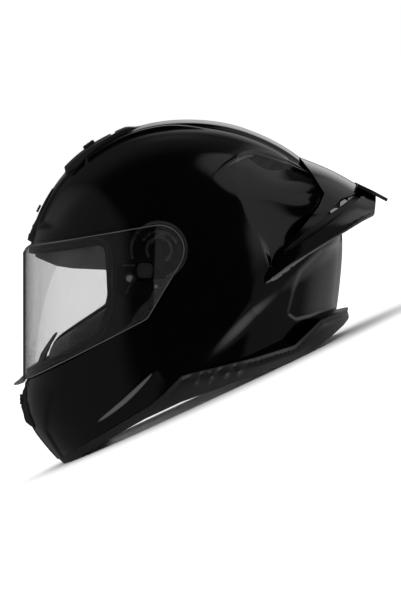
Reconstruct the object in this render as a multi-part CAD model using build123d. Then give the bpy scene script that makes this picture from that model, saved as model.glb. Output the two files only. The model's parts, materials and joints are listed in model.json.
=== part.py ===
"""Full-face motorcycle helmet with a clear swing-up visor and a rear spoiler.

The helmet is designed in the head frame: origin on the visor's pivot axis, +X to the wearer's
left, +Y to the back of the head, +Z up the straight front of the visor. `stand` then turns it
into the frame that it is written in, where the helmet rests on its lower rim at z = 0, faces -Y
and has its origin under the middle of its box. Sizes are millimetres.
"""

from build123d import *
from math import acos, atan2, cos, degrees, hypot, pi, radians, sin, tan
import os

# ---------------------------------------------------------------- driving sizes
SHELL_HALF_WIDTH = 125.0
SHELL_WALL = 4.0
LINER_GAP = 0.4  # between the shell and the foam inside it
REACH = 160.0  # half length of every side-to-side cutter

CHIN_TIP = (-86.5, -202.1)  # lowest point of the chin, (y, z) in the head frame
REAR_HEEL = (141.0, -96.8)  # lowest point of the neck rim
REST_TILT = degrees(atan2(REAR_HEEL[1] - CHIN_TIP[1], REAR_HEEL[0] - CHIN_TIP[0]))
REST_HEIGHT = CHIN_TIP[0] * sin(radians(REST_TILT)) - CHIN_TIP[1] * cos(radians(REST_TILT))
MID_Y = 17.6  # middle of the helmet's box along the rest plane, from the pivot

VISOR_HALF_WIDTH = 126.2
VISOR_FRONT = 126.9
VISOR_TAIL = 170.0
VISOR_FULLNESS = 2.2
VISOR_WALL = 2.2
VISOR_TOP_SLOPE = 10.2
VISOR_END_RADIUS = 23.5
VISOR_CORNER = (-11.0, -64.0)
VISOR_LOWER_SLOPE = 27.7
VISOR_EDGE_GAP = 2.0
RECESS_DEPTH = 3.6  # floor of the visor recess under the visor's outer face

POCKET_RADIUS = 27.5
POCKET_DEPTH = 6.3
POCKET_WALL = 2.6
PLATE_TOP = 121.6  # outermost x of the base plate, clear of the swinging visor
HUB_RADIUS = 9.0
PIN_RADIUS = 5.0
SCREW_AT = (-27.0, -26.5)
LEVER_AT = (-13.0, -19.0)
LEVER_SIZE = (15.0, 14.0)
LEVER_TRAVEL = 4.0
STUD_AT = (-3.0, -34.0)

CAVITY_AT = (26.0, -10.0)
CAVITY_HALF_WIDTH = 77.0
COMFORT_THICKNESS = 8.0
CHEEK_FACE = 60.0  # half distance between the cheek pads
CHEEK_BACK = 90.0  # where the soft pad meets its foam block

STRAP_WIDTH = 25.0
STRAP_THICK = 2.0
STRAP_MID_Y = -20.0  # row frame
RING_WIRE = 4.0

# Middle-plane profile of the shell about the pivot: (y, z, fullness of the cross-section).
SHELL_PROFILE = [
    (-120.3, 2.8, 2.10),
    (-114.8, 23.5, 2.05),
    (-101.5, 50.8, 2.00),
    (-82.5, 75.4, 2.00),
    (-54.5, 97.2, 2.00),
    (-22.0, 112.4, 2.00),
    (7.0, 118.6, 2.00),
    (36.0, 119.6, 2.00),
    (68.0, 115.4, 2.00),
    (101.0, 103.8, 2.05),
    (133.0, 84.6, 2.10),
    (156.0, 61.0, 2.15),
    (169.0, 35.0, 2.20),
    (173.2, 6.0, 2.25),
    (171.6, -26.0, 2.30),
    (167.4, -60.0, 2.35),
    (157.0, -100.0, 2.40),
    (125.0, -155.0, 2.40),
    (75.0, -200.0, 2.40),
    (10.0, -226.0, 2.40),
    (-50.0, -225.0, 2.40),
    (-86.5, -204.5, 2.40),
    (-107.2, -182.4, 2.35),
    (-119.5, -163.0, 2.30),
    (-124.0, -140.0, 2.25),
    (-123.0, -100.0, 2.20),
    (-121.6, -50.0, 2.20),
]
# How far the rim trim stands out behind the neck, at the profile points it changes.
RIM_FLARE = {(171.6, -26.0): 3.0, (167.4, -60.0): 12.0, (157.0, -100.0): 18.0,
             (125.0, -155.0): 8.0}

# The spoiler's outer form about the pivot. Inside the shell it only has to stay hidden.
SPOILER_PROFILE = [
    (-60.0, 40.0, 2.2),
    (0.0, 92.0, 2.2),
    (60.0, 104.0, 2.2),
    (112.0, 93.0, 2.3),
    (137.5, 82.8, 2.4),
    (161.7, 72.8, 2.5),
    (182.4, 61.6, 2.55),
    (197.0, 53.4, 2.6),
    (210.5, 46.0, 2.6),
    (217.0, 34.0, 2.6),
    (217.0, 10.0, 2.6),
    (209.0, -30.0, 2.5),
    (186.0, -70.0, 2.4),
    (158.0, -98.0, 2.4),
    (100.0, -110.0, 2.4),
    (0.0, -100.0, 2.4),
    (-60.0, -40.0, 2.2),
]

# Empty space for the head: profile about CAVITY_AT. It runs out through the neck.
CAVITY_PROFILE = [
    (-104.0, 0.0, 2.3),
    (-92.0, 42.0, 2.2),
    (-55.0, 75.0, 2.1),
    (0.0, 86.0, 2.1),
    (56.0, 75.0, 2.1),
    (92.0, 45.0, 2.2),
    (104.0, 5.0, 2.3),
    (98.0, -60.0, 2.5),
    (80.0, -170.0, 2.6),
    (0.0, -235.0, 2.6),
    (-88.0, -190.0, 2.6),
    (-104.0, -80.0, 2.5),
]

LOFT_ANGLES = (0, 15, 30, 45, 57, 67, 75, 81)

# Side views of openings, seams and parts, (y, z) in the head frame.
EYEPORT = [(-150, -8.5), (-48.9, 8.0), (-46.5, -49.0), (-56.5, -80.0), (-150, -129.0)]
EYEPORT_CORNERS = [0, 9, 22, 20, 0]
RIM_EDGE = [(-120, -224.0), (-86.5, -203.2), (-52.6, -180.5), (-13.2, -157.6), (20.7, -141.6),
            (77.1, -121.0), (139.4, -97.9), (161.7, -81.6), (173.5, -72.0), (190.0, -55.0)]
RIM_SEAM = [(-130, -222.5), (-68.6, -182.0), (-7.5, -144.5), (4.7, -134.0), (21.0, -116.8),
            (88.4, -100.6), (126.0, -89.3), (150.4, -66.7), (190.0, -53.0)]
SPOILER_SIDE = [(130.0, 88.0), (161.7, 78.0), (220.0, 48.0), (207.0, 38.0), (200.2, 30.1),
                (189.9, 25.4), (172.0, 15.0), (138.2, -5.6), (114.7, -23.5), (91.2, -42.3),
                (80.5, -52.0), (96.0, -27.0), (117.5, 1.9), (148.5, 39.5), (154.2, 51.7),
                (142.9, 70.5)]
SPOILER_SLOT = [(110.0, -7.0), (121.0, -1.0), (150.0, 20.0), (182.0, 47.5), (180.0, 52.5),
                (150.0, 33.0), (112.0, 2.0)]
LIP_SIDE = [(187.0, 60.0), (200.0, 54.5), (214.6, 47.6), (213.0, 43.0), (198.0, 49.6),
            (186.0, 55.6)]
CROWN_FOAM_SIDE = [(-130, 9.0), (-41.0, 17.0), (-38.5, -3.0), (40.0, 3.0), (69.0, -17.0),
                   (73.0, -84.0), (122.0, -72.0), (148.0, -50.0), (200.0, -36.0), (200.0, 150.0),
                   (-130, 150.0)]
COMFORT_SIDE = [(-130, 13.0), (-39.0, 21.0), (-36.5, -1.0), (41.0, 6.0), (72.0, -15.0),
                (76.0, -80.0), (122.0, -70.0), (200.0, -33.0), (200.0, 150.0), (-130, 150.0)]
TEMPLE_SIDE = [(-98.0, 16.0), (-98.0, -12.0), (-80.0, -17.5), (-41.0, -19.0), (-41.0, 18.0)]
TEMPLE_FROM = 45.0  # the liner hangs lower outside this half width
CHEEK_SIDE = [(-39.0, -6.0), (40.0, 0.0), (66.0, -19.0), (70.0, -99.0), (19.5, -111.0),
              (-8.0, -138.0), (-73.0, -179.0), (-73.0, -98.0), (-48.0, -83.0), (-38.0, -50.0)]
CHEEK_ROUNDING = [4, 16, 10, 8, 4, 4, 4, 8, 14, 10]
NECK_SIDE = [(74.0, -86.0), (122.0, -74.5), (148.0, -52.5), (200.0, -38.5), (200.0, -49.0),
             (150.4, -64.5), (126.0, -86.8), (88.4, -98.0), (74.0, -101.4)]
CHIN_FOAM_SIDE = [(-135.0, -130.0), (-74.5, -100.0), (-74.5, -180.6), (-135.0, -220.8)]
CHIN_VENT_SIDE = [(-108.0, -127.5), (-121.0, -128.0), (-127.2, -130.5), (-128.8, -134.5),
                  (-128.8, -152.0), (-126.2, -163.0), (-118.0, -169.5), (-108.0, -169.5)]
DEFLECTOR_SIDE = [(-116.0, -121.0), (-113.5, -103.5), (-106.0, -90.5), (-98.7, -80.5),
                  (-95.5, -82.0), (-99.0, -93.0), (-104.5, -102.5), (-106.5, -116.0)]

# ---------------------------------------------------------------- shared shapes


def swept_profile(half_width, profile, inset):
    """Egg-shaped solid about the origin's X axis: the side profile, narrowing to each side."""

    def section(share):
        points = []
        for y, z, fullness in profile:
            reach = hypot(y, z)
            narrowing = (1 - abs(share) ** fullness) ** (1 / fullness) * (reach - inset) / reach
            points.append((share * (half_width - inset), y * narrowing, z * narrowing))
        return Wire(Spline(*points, periodic=True).edges())

    shares = [sin(radians(a)) for a in LOFT_ANGLES]
    stations = [-s for s in reversed(shares[1:])] + shares
    return Solid.make_loft([section(s) for s in stations])


def shell_body(inset=0.0):
    """The helmet's outer form, made smaller all round by inset."""
    return swept_profile(SHELL_HALF_WIDTH, SHELL_PROFILE, inset)


def rim_body(inset=0.0):
    """The shell's form with the lip behind the neck standing out."""
    profile = []
    for y, z, fullness in SHELL_PROFILE:
        grow = 1 + RIM_FLARE.get((y, z), 0.0) / hypot(y, z)
        profile.append((y * grow, z * grow, fullness))
    return swept_profile(SHELL_HALF_WIDTH, profile, inset)


def cavity(grow=0.0):
    """Space inside the comfort liner, made larger all round by grow."""
    return Pos(0, *CAVITY_AT) * swept_profile(CAVITY_HALF_WIDTH, CAVITY_PROFILE, -grow)


def polygon(points, rounding=None):
    """Flat shape in the side view, with a corner radius for each point if given."""
    shape = Sketch() + make_face(Polyline(*points, close=True))
    for point, radius in zip(points, rounding or []):
        if radius:
            corner = shape.vertices().sort_by_distance(point + (0,))[0]
            shape = fillet(corner, radius)
    return shape


def disc(radius, at=(0, 0)):
    """Round shape in the side view."""
    return Pos(*at) * Circle(radius)


def across(shape, low=-REACH, high=REACH):
    """Carry a side view through the helmet from x = low to x = high."""
    return extrude(Plane((low, 0, 0), x_dir=(0, 1, 0), z_dir=(1, 0, 0)) * shape, high - low)


def outward(shape, low=0.0, high=REACH):
    """Carry a side view from x = low to x = high on the left side only."""
    return across(shape, low, high)


def slab(half_width, front=-260.0, back=260.0, low=-260.0, high=260.0):
    """Box centred on the middle plane."""
    return Pos(0, (front + back) / 2, (low + high) / 2) * Box(
        2 * half_width, back - front, high - low)


def mirrored(solid):
    """The same part on the wearer's right."""
    return mirror(solid, about=Plane.YZ)


def visor_barrel(inset, low=-150.0, high=60.0):
    """Upright barrel with the visor's plan, inset from its outer face."""
    half_width, front, tail = (v - inset for v in (VISOR_HALF_WIDTH, VISOR_FRONT, VISOR_TAIL))
    steps = [sin(radians(a)) for a in (0, 13, 26, 39, 52, 63, 73, 82)]

    def edge(share, reach):
        return half_width * (1 - share ** VISOR_FULLNESS) ** (1 / VISOR_FULLNESS), share * reach

    left = [edge(s, tail) for s in steps[:0:-1]] + [edge(s, -front) for s in steps]
    right = [(-x, y) for x, y in reversed(left)]
    plan = left + [(0, -front)] + right + [(0, tail)]
    return extrude(Pos(0, 0, low) * make_face(Spline(*plan, periodic=True)), high - low)


def visor_outline():
    """Side view of the visor: a blade in front of a round end about the pivot."""
    radius, slope = VISOR_END_RADIUS, radians(VISOR_TOP_SLOPE)
    front = -VISOR_FRONT - 15
    corner_y, corner_z = VISOR_CORNER
    crest = (-radius * sin(slope), radius * cos(slope))
    back = atan2(corner_z, corner_y) + acos(radius / hypot(corner_y, corner_z))
    heel = (radius * cos(back), radius * sin(back))
    top_front = (front, crest[1] + (front - crest[0]) * tan(slope))
    low_front = (front, corner_z + (front - corner_y) * tan(radians(VISOR_LOWER_SLOPE)))
    outline = Line(top_front, crest) + ThreePointArc(crest, (radius, 0), heel)
    outline += Polyline(heel, VISOR_CORNER, low_front, top_front)
    shape = Sketch() + make_face(outline)
    return fillet(shape.vertices().sort_by_distance(VISOR_CORNER + (0,))[0], 12)


def pocket_outline(shrink=0.0):
    """Side view of the mechanism pocket: a round well with a lobe to the front and below."""
    lobe = Pos(-22, -27) * RectangleRounded(34 - 2 * shrink, 32 - 2 * shrink, 8 - shrink)
    return disc(POCKET_RADIUS - shrink) + lobe


def tangent_plane(y, z, lean):
    """Plane on the outside of the middle line; its y runs back over the crown."""
    away = radians(lean)
    return Plane((0, y, z), x_dir=(1, 0, 0), z_dir=(0, -cos(away), sin(away)))


def pad_box(width, length, low, high, shift=0.0):
    """Upright block on a tangent plane, centred shift along it."""
    return Pos(0, shift, (low + high) / 2) * Box(width, length, high - low)


outer = shell_body()
wall_face = shell_body(SHELL_WALL)
foam_face = shell_body(SHELL_WALL + LINER_GAP)
visor_face = visor_barrel(0)
visor_back = visor_barrel(VISOR_WALL)
recess_floor = visor_barrel(RECESS_DEPTH)
pocket_floor = visor_barrel(POCKET_DEPTH)
above_seam = across(polygon([(-200, 150), (-200, -222.5)] + RIM_SEAM + [(240, -53), (240, 150)]))
above_rim = across(polygon([(-200, 150), (-200, -224)] + RIM_EDGE + [(240, -55), (240, 150)]))
eyeport = polygon(EYEPORT, EYEPORT_CORNERS)
parts = {}

# ---------------------------------------------------------------- shell and visor mechanism
boss = outward(pocket_outline(-POCKET_WALL), 60) & outer
boss -= visor_barrel(POCKET_DEPTH + POCKET_WALL)
recess = across(offset(visor_outline(), VISOR_EDGE_GAP, kind=Kind.INTERSECTION)) - recess_floor
pocket = across(pocket_outline()) - pocket_floor
screw_hole = across(disc(1.6, SCREW_AT))

shell = (outer - wall_face) & above_seam
shell = shell - across(eyeport) + boss + mirrored(boss) - recess - pocket - screw_hole

CHIN_VENT = Plane((0, -128.8, -143.0), x_dir=(1, 0, 0), z_dir=(0, -1, 0))
BROW_VENT = tangent_plane(-112.8, 36.6, 26.0)
CROWN_VENT = tangent_plane(-65.2, 96.5, 54.5)
for vent, width in ((CHIN_VENT, 44), (BROW_VENT, 28), (CROWN_VENT, 30)):
    for side in (-1, 1):
        shell -= vent * Pos(side * width / 3, -3, 0) * Cylinder(3.5, 50)
parts["outer_shell"] = shell

plate_side = pocket_outline(0.3)
plate = outward(plate_side, 60, PLATE_TOP) & visor_barrel(RECESS_DEPTH + 0.3)
plate -= pocket_floor
plate -= outward(disc(PIN_RADIUS + 0.15))
plate -= outward(disc(1.6, SCREW_AT))
plate -= outward(disc(3.3, SCREW_AT), 118.5)
window = (LEVER_SIZE[0] + 0.7, LEVER_SIZE[1] + LEVER_TRAVEL + 0.7)
plate -= outward(Pos(LEVER_AT[0], LEVER_AT[1] - LEVER_TRAVEL / 2) * RectangleRounded(*window, 1.5))
parts["base_plate_left"] = plate

screw = outward(disc(3.1, SCREW_AT), 118.5, 119.8) + outward(disc(1.4, SCREW_AT), 115.4, 118.5)
screw -= outward(RegularPolygon(1.6, 6).moved(Location((*SCREW_AT, 0))), 119.1)
parts["base_plate_screw_left"] = screw

lever_side = Pos(*LEVER_AT) * RectangleRounded(*LEVER_SIZE, 1.2)
lever = (outward(lever_side, 60) & visor_barrel(3.2)) - visor_barrel(POCKET_DEPTH - 0.4)
for step in range(4):
    groove = Pos(LEVER_AT[0], LEVER_AT[1] - 5 + 3.2 * step) * Rectangle(LEVER_SIZE[0] - 4, 1.2)
    lever -= outward(groove, 60) - visor_barrel(3.9)
parts["release_lever_left"] = lever

tab_side = polygon([(-123.5, -118.5), (-127.6, -121.5), (-135.4, -128.3), (-134.6, -130.2),
                    (-126.2, -127.3), (-123.5, -123.0)])
tab = across(tab_side, -15, 15) - visor_back
visor = ((visor_face - visor_back) & across(visor_outline())) + tab
parts["visor_shield"] = visor
hub = outward(disc(HUB_RADIUS), PLATE_TOP + 0.5) & visor_back
hub += outward(disc(PIN_RADIUS), 120.3, PLATE_TOP + 0.6)
parts["visor_hub_left"] = hub
parts["visor_stud_left"] = (outward(disc(1.6, STUD_AT), 60) & visor_back) - visor_barrel(3.2)

# ---------------------------------------------------------------- rubber edges
gasket_ring = offset(eyeport, 5.6) - offset(eyeport, -1.6)
gasket = across(gasket_ring) & visor_barrel(2.9) & slab(REACH, back=-38.0)
gasket = (gasket & shell_body(-1.0)) - wall_face - shell
parts["eyeport_gasket"] = gasket

trim = ((rim_body(-0.9) - shell_body(7.0)) & above_rim) - above_seam
parts["lower_edge_trim"] = trim

# ---------------------------------------------------------------- vents
chin_plan = Polyline((30, -105), (30, -122), (22, -131), (-22, -131), (-30, -122), (-30, -105),
                     close=True)
chin_block = across(polygon(CHIN_VENT_SIDE)) & extrude(
    Pos(0, 0, -180) * make_face(chin_plan), 60)
chin_vent = chin_block - outer
rail = CHIN_VENT * pad_box(20.8, 9.0 + 5.0 + 0.8, -3.0, 20, shift=-2.5)
windows = Sketch() + [Pos(s * 17.0, 0) * RectangleRounded(8, 16, 2) for s in (-1, 1)]
windows_cut = CHIN_VENT * (Pos(0, 0, -10) * extrude(windows, 30))
parts["chin_vent_housing"] = chin_vent - rail - windows_cut
mesh_slots = Sketch() + [
    Pos(s * 17.0 + x, y) * Rectangle(1.6, 3.6)
    for s in (-1, 1) for x in (-2.4, 0, 2.4) for y in (-4.8, 0, 4.8)
]
mesh = CHIN_VENT * (Pos(0, 0, -2.6) * extrude(windows - mesh_slots, 1.0))
parts["chin_vent_mesh"] = mesh
shutter = CHIN_VENT * (pad_box(20, 9, -2.6, 0.9) - Pos(0, 0, 0.9) * Box(12, 2.0, 1.2))
parts["chin_vent_shutter"] = shutter

brow_band = across(polygon([(-140, 7.5), (-90, 7.5), (-84, 56), (-140, 56)]))
brow = ((shell_body(-3.0) & brow_band & slab(24.0)) - outer)
brow -= BROW_VENT * pad_box(16.8, 7 + 4 + 0.8, -1.7, 20, shift=2.0)
parts["brow_vent_housing"] = brow
parts["brow_vent_slider"] = BROW_VENT * pad_box(16, 7, -1.3, 1.1)

crown_band = across(polygon([(-140, 80), (-84, 68), (-20, 105), (-16, 150), (-140, 150)]))
crown_plan = Polyline((27, -100), (31, -60), (16, -10), (-16, -10), (-31, -60), (-27, -100),
                      close=True)
crown = shell_body(-4.4) & crown_band & extrude(Pos(0, 0, 40) * make_face(crown_plan), 110)
crown -= outer
crown -= CROWN_VENT * pad_box(18.8, 12 + 6 + 0.8, -2.3, 20, shift=3.0)
parts["crown_vent_fairing"] = crown
parts["crown_vent_slider"] = CROWN_VENT * pad_box(18, 12, -1.9, 1.3)

# ---------------------------------------------------------------- spoiler
lip_side = polygon(LIP_SIDE)
spoiler_side = polygon(SPOILER_SIDE) - polygon(SPOILER_SLOT)
spoiler_face = swept_profile(SHELL_HALF_WIDTH - 0.5, SPOILER_PROFILE, 0.0)
slot_keep = slab(44.0)
spoiler = spoiler_face & (across(polygon(SPOILER_SIDE)) - (across(polygon(SPOILER_SLOT)) - slot_keep))
hollow = swept_profile(SHELL_HALF_WIDTH - 0.5, SPOILER_PROFILE, 3.0)
hollow = hollow & across(offset(spoiler_side, -3.0, kind=Kind.INTERSECTION))
tail_cut = across(polygon([(206.5, 60), (230, 60), (230, 20), (201.0, 28.0)]))
lip = across(lip_side, -64, 64)
spoiler = spoiler - hollow - tail_cut - lip - outer
parts["rear_spoiler"] = spoiler
lip_plan = Polyline((64, 180), (64, 196), (46, 216), (-46, 216), (-64, 196), (-64, 180), close=True)
parts["spoiler_lip"] = lip & extrude(make_face(lip_plan), 90)

grille = outward(polygon(SPOILER_SLOT), 44.0)
grille = (grille & swept_profile(SHELL_HALF_WIDTH - 0.5, SPOILER_PROFILE, 5.0)) - outer
grille -= swept_profile(SHELL_HALF_WIDTH - 0.5, SPOILER_PROFILE, 7.5)
for step in range(5):
    centre = (128.0 + 11.0 * step, 11.2 + 8.9 * step)
    grille -= outward(Pos(*centre) * Rot(0, 0, 39) * RectangleRounded(9, 5, 1.5))
parts["exhaust_grille_left"] = grille

# ---------------------------------------------------------------- foam and padding
head_space = cavity()
liner_back = cavity(COMFORT_THICKNESS)
boss_room = across(pocket_outline(-POCKET_WALL - 0.5)) - visor_barrel(POCKET_DEPTH + 3.2)
crown_foam = (foam_face & across(polygon(CROWN_FOAM_SIDE))) - cavity(COMFORT_THICKNESS + 0.3)
parts["crown_eps_liner"] = crown_foam - boss_room
temples = across(polygon(TEMPLE_SIDE)) - slab(TEMPLE_FROM)
parts["crown_comfort_liner"] = (liner_back & (across(polygon(COMFORT_SIDE)) + temples)) - head_space
chin_foam = (foam_face - shell_body(27.0)) & across(polygon(CHIN_FOAM_SIDE))
parts["chin_eps_liner"] = chin_foam
cheek_side = polygon(CHEEK_SIDE, CHEEK_ROUNDING)
cheek_foam = (foam_face & outward(cheek_side, CHEEK_BACK)) - boss_room
pad = outward(offset(cheek_side, -1.5), CHEEK_FACE, CHEEK_BACK - 0.1) & shell_body(9.0)
neck_roll = (foam_face & across(polygon(NECK_SIDE))) - cavity(-2.0) - slab(60.0, back=110.0)
parts["neck_roll"] = neck_roll

deflector = across(polygon(DEFLECTOR_SIDE), -36, 36)
notch = Polyline((-20, -70), (0, -98), (20, -70), close=True)
deflector -= extrude(Plane((0, -60, 0), x_dir=(1, 0, 0), z_dir=(0, -1, 0)) * make_face(notch), 60)
parts["breath_deflector"] = deflector - chin_foam
curtain_side = [(-130, -219.4), (-52.0, -168.9), (-52.0, -167.4), (-130, -217.9)]
parts["chin_curtain"] = across(polygon(curtain_side)) & shell_body(SHELL_WALL + 0.1) & slab(84.0)

# ---------------------------------------------------------------- standing on the rim


def stand(solid):
    """Head frame to row frame: rest the rim on z = 0 with the origin under the box's middle."""
    return Pos(0, -MID_Y, REST_HEIGHT) * Rot(-REST_TILT, 0, 0) * solid


parts = {name: stand(solid) for name, solid in parts.items()}
parts["lower_edge_trim"] -= Pos(0, 0, -10) * Box(400, 500, 20)

# ---------------------------------------------------------------- chin strap, row frame


def strap(path, width=STRAP_WIDTH):
    """Webbing of constant width along Y, following a line of (x, z) points."""
    left, right = [], []
    for i, here in enumerate(path):
        before, after = path[max(i - 1, 0)], path[min(i + 1, len(path) - 1)]
        arrive = atan2(here[1] - before[1], here[0] - before[0]) if i else None
        leave = atan2(after[1] - here[1], after[0] - here[0]) if here != path[-1] else arrive
        arrive = leave if arrive is None else arrive
        turn = (leave - arrive + pi) % (2 * pi) - pi
        across_at = arrive + turn / 2 + pi / 2
        reach = STRAP_THICK / 2 / cos(turn / 2)
        left.append((here[0] + reach * cos(across_at), here[1] + reach * sin(across_at)))
        right.append((here[0] - reach * cos(across_at), here[1] - reach * sin(across_at)))
    ribbon = make_face(Polyline(*left, *reversed(right), close=True))
    return Pos(0, STRAP_MID_Y + width / 2, 0) * Rot(90, 0, 0) * extrude(ribbon, width)


strap_slot = strap([(50, 56.6), (118, 69.6)], STRAP_WIDTH + 2.4)
slot_room = strap_slot + Pos(0, 0, 1.6) * strap_slot + Pos(0, 0, -1.6) * strap_slot
for name, solid in (("cheek_eps_left", stand(cheek_foam)), ("cheek_pad_left", stand(pad))):
    parts[name] = solid - slot_room

loop_left, loop_right, loop_low, loop_high = 44.6, 56.6, 24.7, 31.3
parts["strap_left"] = strap([(112, 68.4), (60.5, 58.6), (56.6, 55.0), (loop_right, loop_low),
                             (loop_left, loop_low), (loop_left, loop_high - 1.5)])
parts["strap_left"] += strap([(loop_left, loop_high - 2), (loop_left, loop_high),
                              (loop_right, loop_high)])
# The right strap's free tail is folded back on itself and held by its snap.
parts["strap_right"] = strap([(-112, 68.4), (-60.5, 58.6), (-56.6, 55.0), (-56.6, 10.0),
                              (-53.5, 6.0), (-50.4, 10.0), (-50.4, 62.0)])
snap_at = Pos(-53.5, STRAP_MID_Y, 40.0) * Rot(0, 90, 0)
parts["strap_snap"] = snap_at * (Pos(0, 0, -1.05) * Cylinder(6.0, 2.1) + Pos(0, 0, 1.05) * Cylinder(4.4, 2.1))

anchor_left = Pos(110.6, STRAP_MID_Y, 70.4) * Rot(0, -10.8, 0) * Box(9, 20, 2.2)
parts["strap_anchor_left"] = anchor_left
parts["cheek_eps_left"] -= Pos(110.6, STRAP_MID_Y, 70.4) * Rot(0, -10.8, 0) * Box(30, 21, 3.4)


def d_ring(x):
    """Wire ring hanging from a straight bar that runs along Y."""
    bar_z, half, drop = 28.0, 15.6, 18.0
    ends = [(x, STRAP_MID_Y - half, bar_z), (x, STRAP_MID_Y + half, bar_z)]
    arc = ThreePointArc(ends[0], (x, STRAP_MID_Y, bar_z - drop), ends[1])
    bow = sweep(Plane(arc @ 0, z_dir=arc % 0) * Circle(RING_WIRE / 2), path=arc)
    bar = Pos(x, STRAP_MID_Y, bar_z) * Rot(90, 0, 0) * Cylinder(RING_WIRE / 2, 2 * half)
    ring = bow + bar
    for end in ends:
        ring += Pos(*end) * Sphere(RING_WIRE / 2)
    return ring


parts["d_ring_inner"] = d_ring(48.1)
parts["d_ring_outer"] = d_ring(53.1)

# ---------------------------------------------------------------- right-hand twins and export
for name in [n for n in parts if n.endswith("_left") and n not in ("strap_left",)]:
    parts[name.replace("_left", "_right")] = mirrored(parts[name])

os.makedirs("parts", exist_ok=True)
for name, solid in parts.items():
    export_step(solid, f"parts/{name}.step")
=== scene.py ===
"""Looks of the full-face motorcycle helmet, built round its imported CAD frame.

Shapes are worked out in the head frame in millimetres, as in the CAD source: origin on the
visor's pivot axis, +X to the wearer's left, +Y back, +Z up the visor. `stand` turns them into the
row frame. A form's profile lists (y, z, fullness); a side view's outline lists (y, z).
"""

import json
import math

import bmesh
import bpy
import numpy as np
from mathutils import Matrix, Vector


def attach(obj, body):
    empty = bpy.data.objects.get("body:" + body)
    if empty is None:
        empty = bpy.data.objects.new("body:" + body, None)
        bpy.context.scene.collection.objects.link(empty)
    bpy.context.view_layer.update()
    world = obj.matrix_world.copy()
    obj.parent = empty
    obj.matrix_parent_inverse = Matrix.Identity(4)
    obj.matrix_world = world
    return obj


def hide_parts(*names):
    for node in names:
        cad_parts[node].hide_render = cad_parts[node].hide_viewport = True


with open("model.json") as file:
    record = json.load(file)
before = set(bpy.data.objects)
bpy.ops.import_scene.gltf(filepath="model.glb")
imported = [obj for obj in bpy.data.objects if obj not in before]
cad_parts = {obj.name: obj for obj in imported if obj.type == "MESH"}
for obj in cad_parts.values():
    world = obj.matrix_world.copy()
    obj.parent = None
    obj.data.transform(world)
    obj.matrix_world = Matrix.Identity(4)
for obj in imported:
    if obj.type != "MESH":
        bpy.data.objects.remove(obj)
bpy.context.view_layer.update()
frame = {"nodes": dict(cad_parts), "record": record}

# ---------------------------------------------------------------- frame and sizes
MM = 0.001
CHIN_TIP = (-86.5, -202.1)
REAR_HEEL = (141.0, -96.8)
REST_TILT = math.atan2(REAR_HEEL[1] - CHIN_TIP[1], REAR_HEEL[0] - CHIN_TIP[0])
REST_HEIGHT = CHIN_TIP[0] * math.sin(REST_TILT) - CHIN_TIP[1] * math.cos(REST_TILT)
MID_Y = 17.6
SHELL_HALF_WIDTH = 125.0
SPOILER_HALF_WIDTH = 124.5
VISOR_HALF_WIDTH, VISOR_FRONT, VISOR_TAIL, VISOR_FULLNESS = 126.2, 126.9, 170.0, 2.2

SHELL_PROFILE = [
    (-120.3, 2.8, 2.10), (-114.8, 23.5, 2.05), (-101.5, 50.8, 2.00), (-82.5, 75.4, 2.00),
    (-54.5, 97.2, 2.00), (-22.0, 112.4, 2.00), (7.0, 118.6, 2.00), (36.0, 119.6, 2.00),
    (68.0, 115.4, 2.00), (101.0, 103.8, 2.05), (133.0, 84.6, 2.10), (156.0, 61.0, 2.15),
    (169.0, 35.0, 2.20), (173.2, 6.0, 2.25), (171.6, -26.0, 2.30), (167.4, -60.0, 2.35),
    (157.0, -100.0, 2.40), (125.0, -155.0, 2.40), (75.0, -200.0, 2.40), (10.0, -226.0, 2.40),
    (-50.0, -225.0, 2.40), (-86.5, -204.5, 2.40), (-107.2, -182.4, 2.35), (-119.5, -163.0, 2.30),
    (-124.0, -140.0, 2.25), (-123.0, -100.0, 2.20), (-121.6, -50.0, 2.20),
]
RIM_FLARE = {14: 3.0, 15: 12.0, 16: 18.0, 17: 8.0}
SPOILER_PROFILE = [
    (-60.0, 40.0, 2.2), (0.0, 92.0, 2.2), (60.0, 104.0, 2.2), (112.0, 93.0, 2.3),
    (137.5, 82.8, 2.4), (161.7, 72.8, 2.5), (182.4, 61.6, 2.55), (197.0, 53.4, 2.6),
    (210.5, 46.0, 2.6), (217.0, 34.0, 2.6), (217.0, 10.0, 2.6), (209.0, -30.0, 2.5),
    (186.0, -70.0, 2.4), (158.0, -98.0, 2.4), (100.0, -110.0, 2.4), (0.0, -100.0, 2.4),
    (-60.0, -40.0, 2.2),
]
EYEPORT = [(-150, -8.5), (-48.9, 8.0), (-46.5, -49.0), (-56.5, -80.0), (-150, -129.0)]
RIM_EDGE = [(-120, -224.0), (-86.5, -203.2), (-52.6, -180.5), (-13.2, -157.6), (20.7, -141.6),
            (77.1, -121.0), (139.4, -97.9), (161.7, -81.6), (173.5, -72.0), (190.0, -55.0)]
RIM_SEAM = [(-130, -222.5), (-68.6, -182.0), (-7.5, -144.5), (4.7, -134.0), (21.0, -116.8),
            (88.4, -100.6), (126.0, -89.3), (150.4, -66.7), (190.0, -53.0)]
SPOILER_SIDE = [(130.0, 88.0), (161.7, 78.0), (220.0, 48.0), (207.0, 38.0), (200.2, 30.1),
                (189.9, 25.4), (172.0, 15.0), (138.2, -5.6), (114.7, -23.5), (91.2, -42.3),
                (80.5, -52.0), (96.0, -27.0), (117.5, 1.9), (148.5, 39.5), (154.2, 51.7),
                (142.9, 70.5)]
CAVITY_AT, CAVITY_HALF_WIDTH = (26.0, -10.0), 77.0
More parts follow.
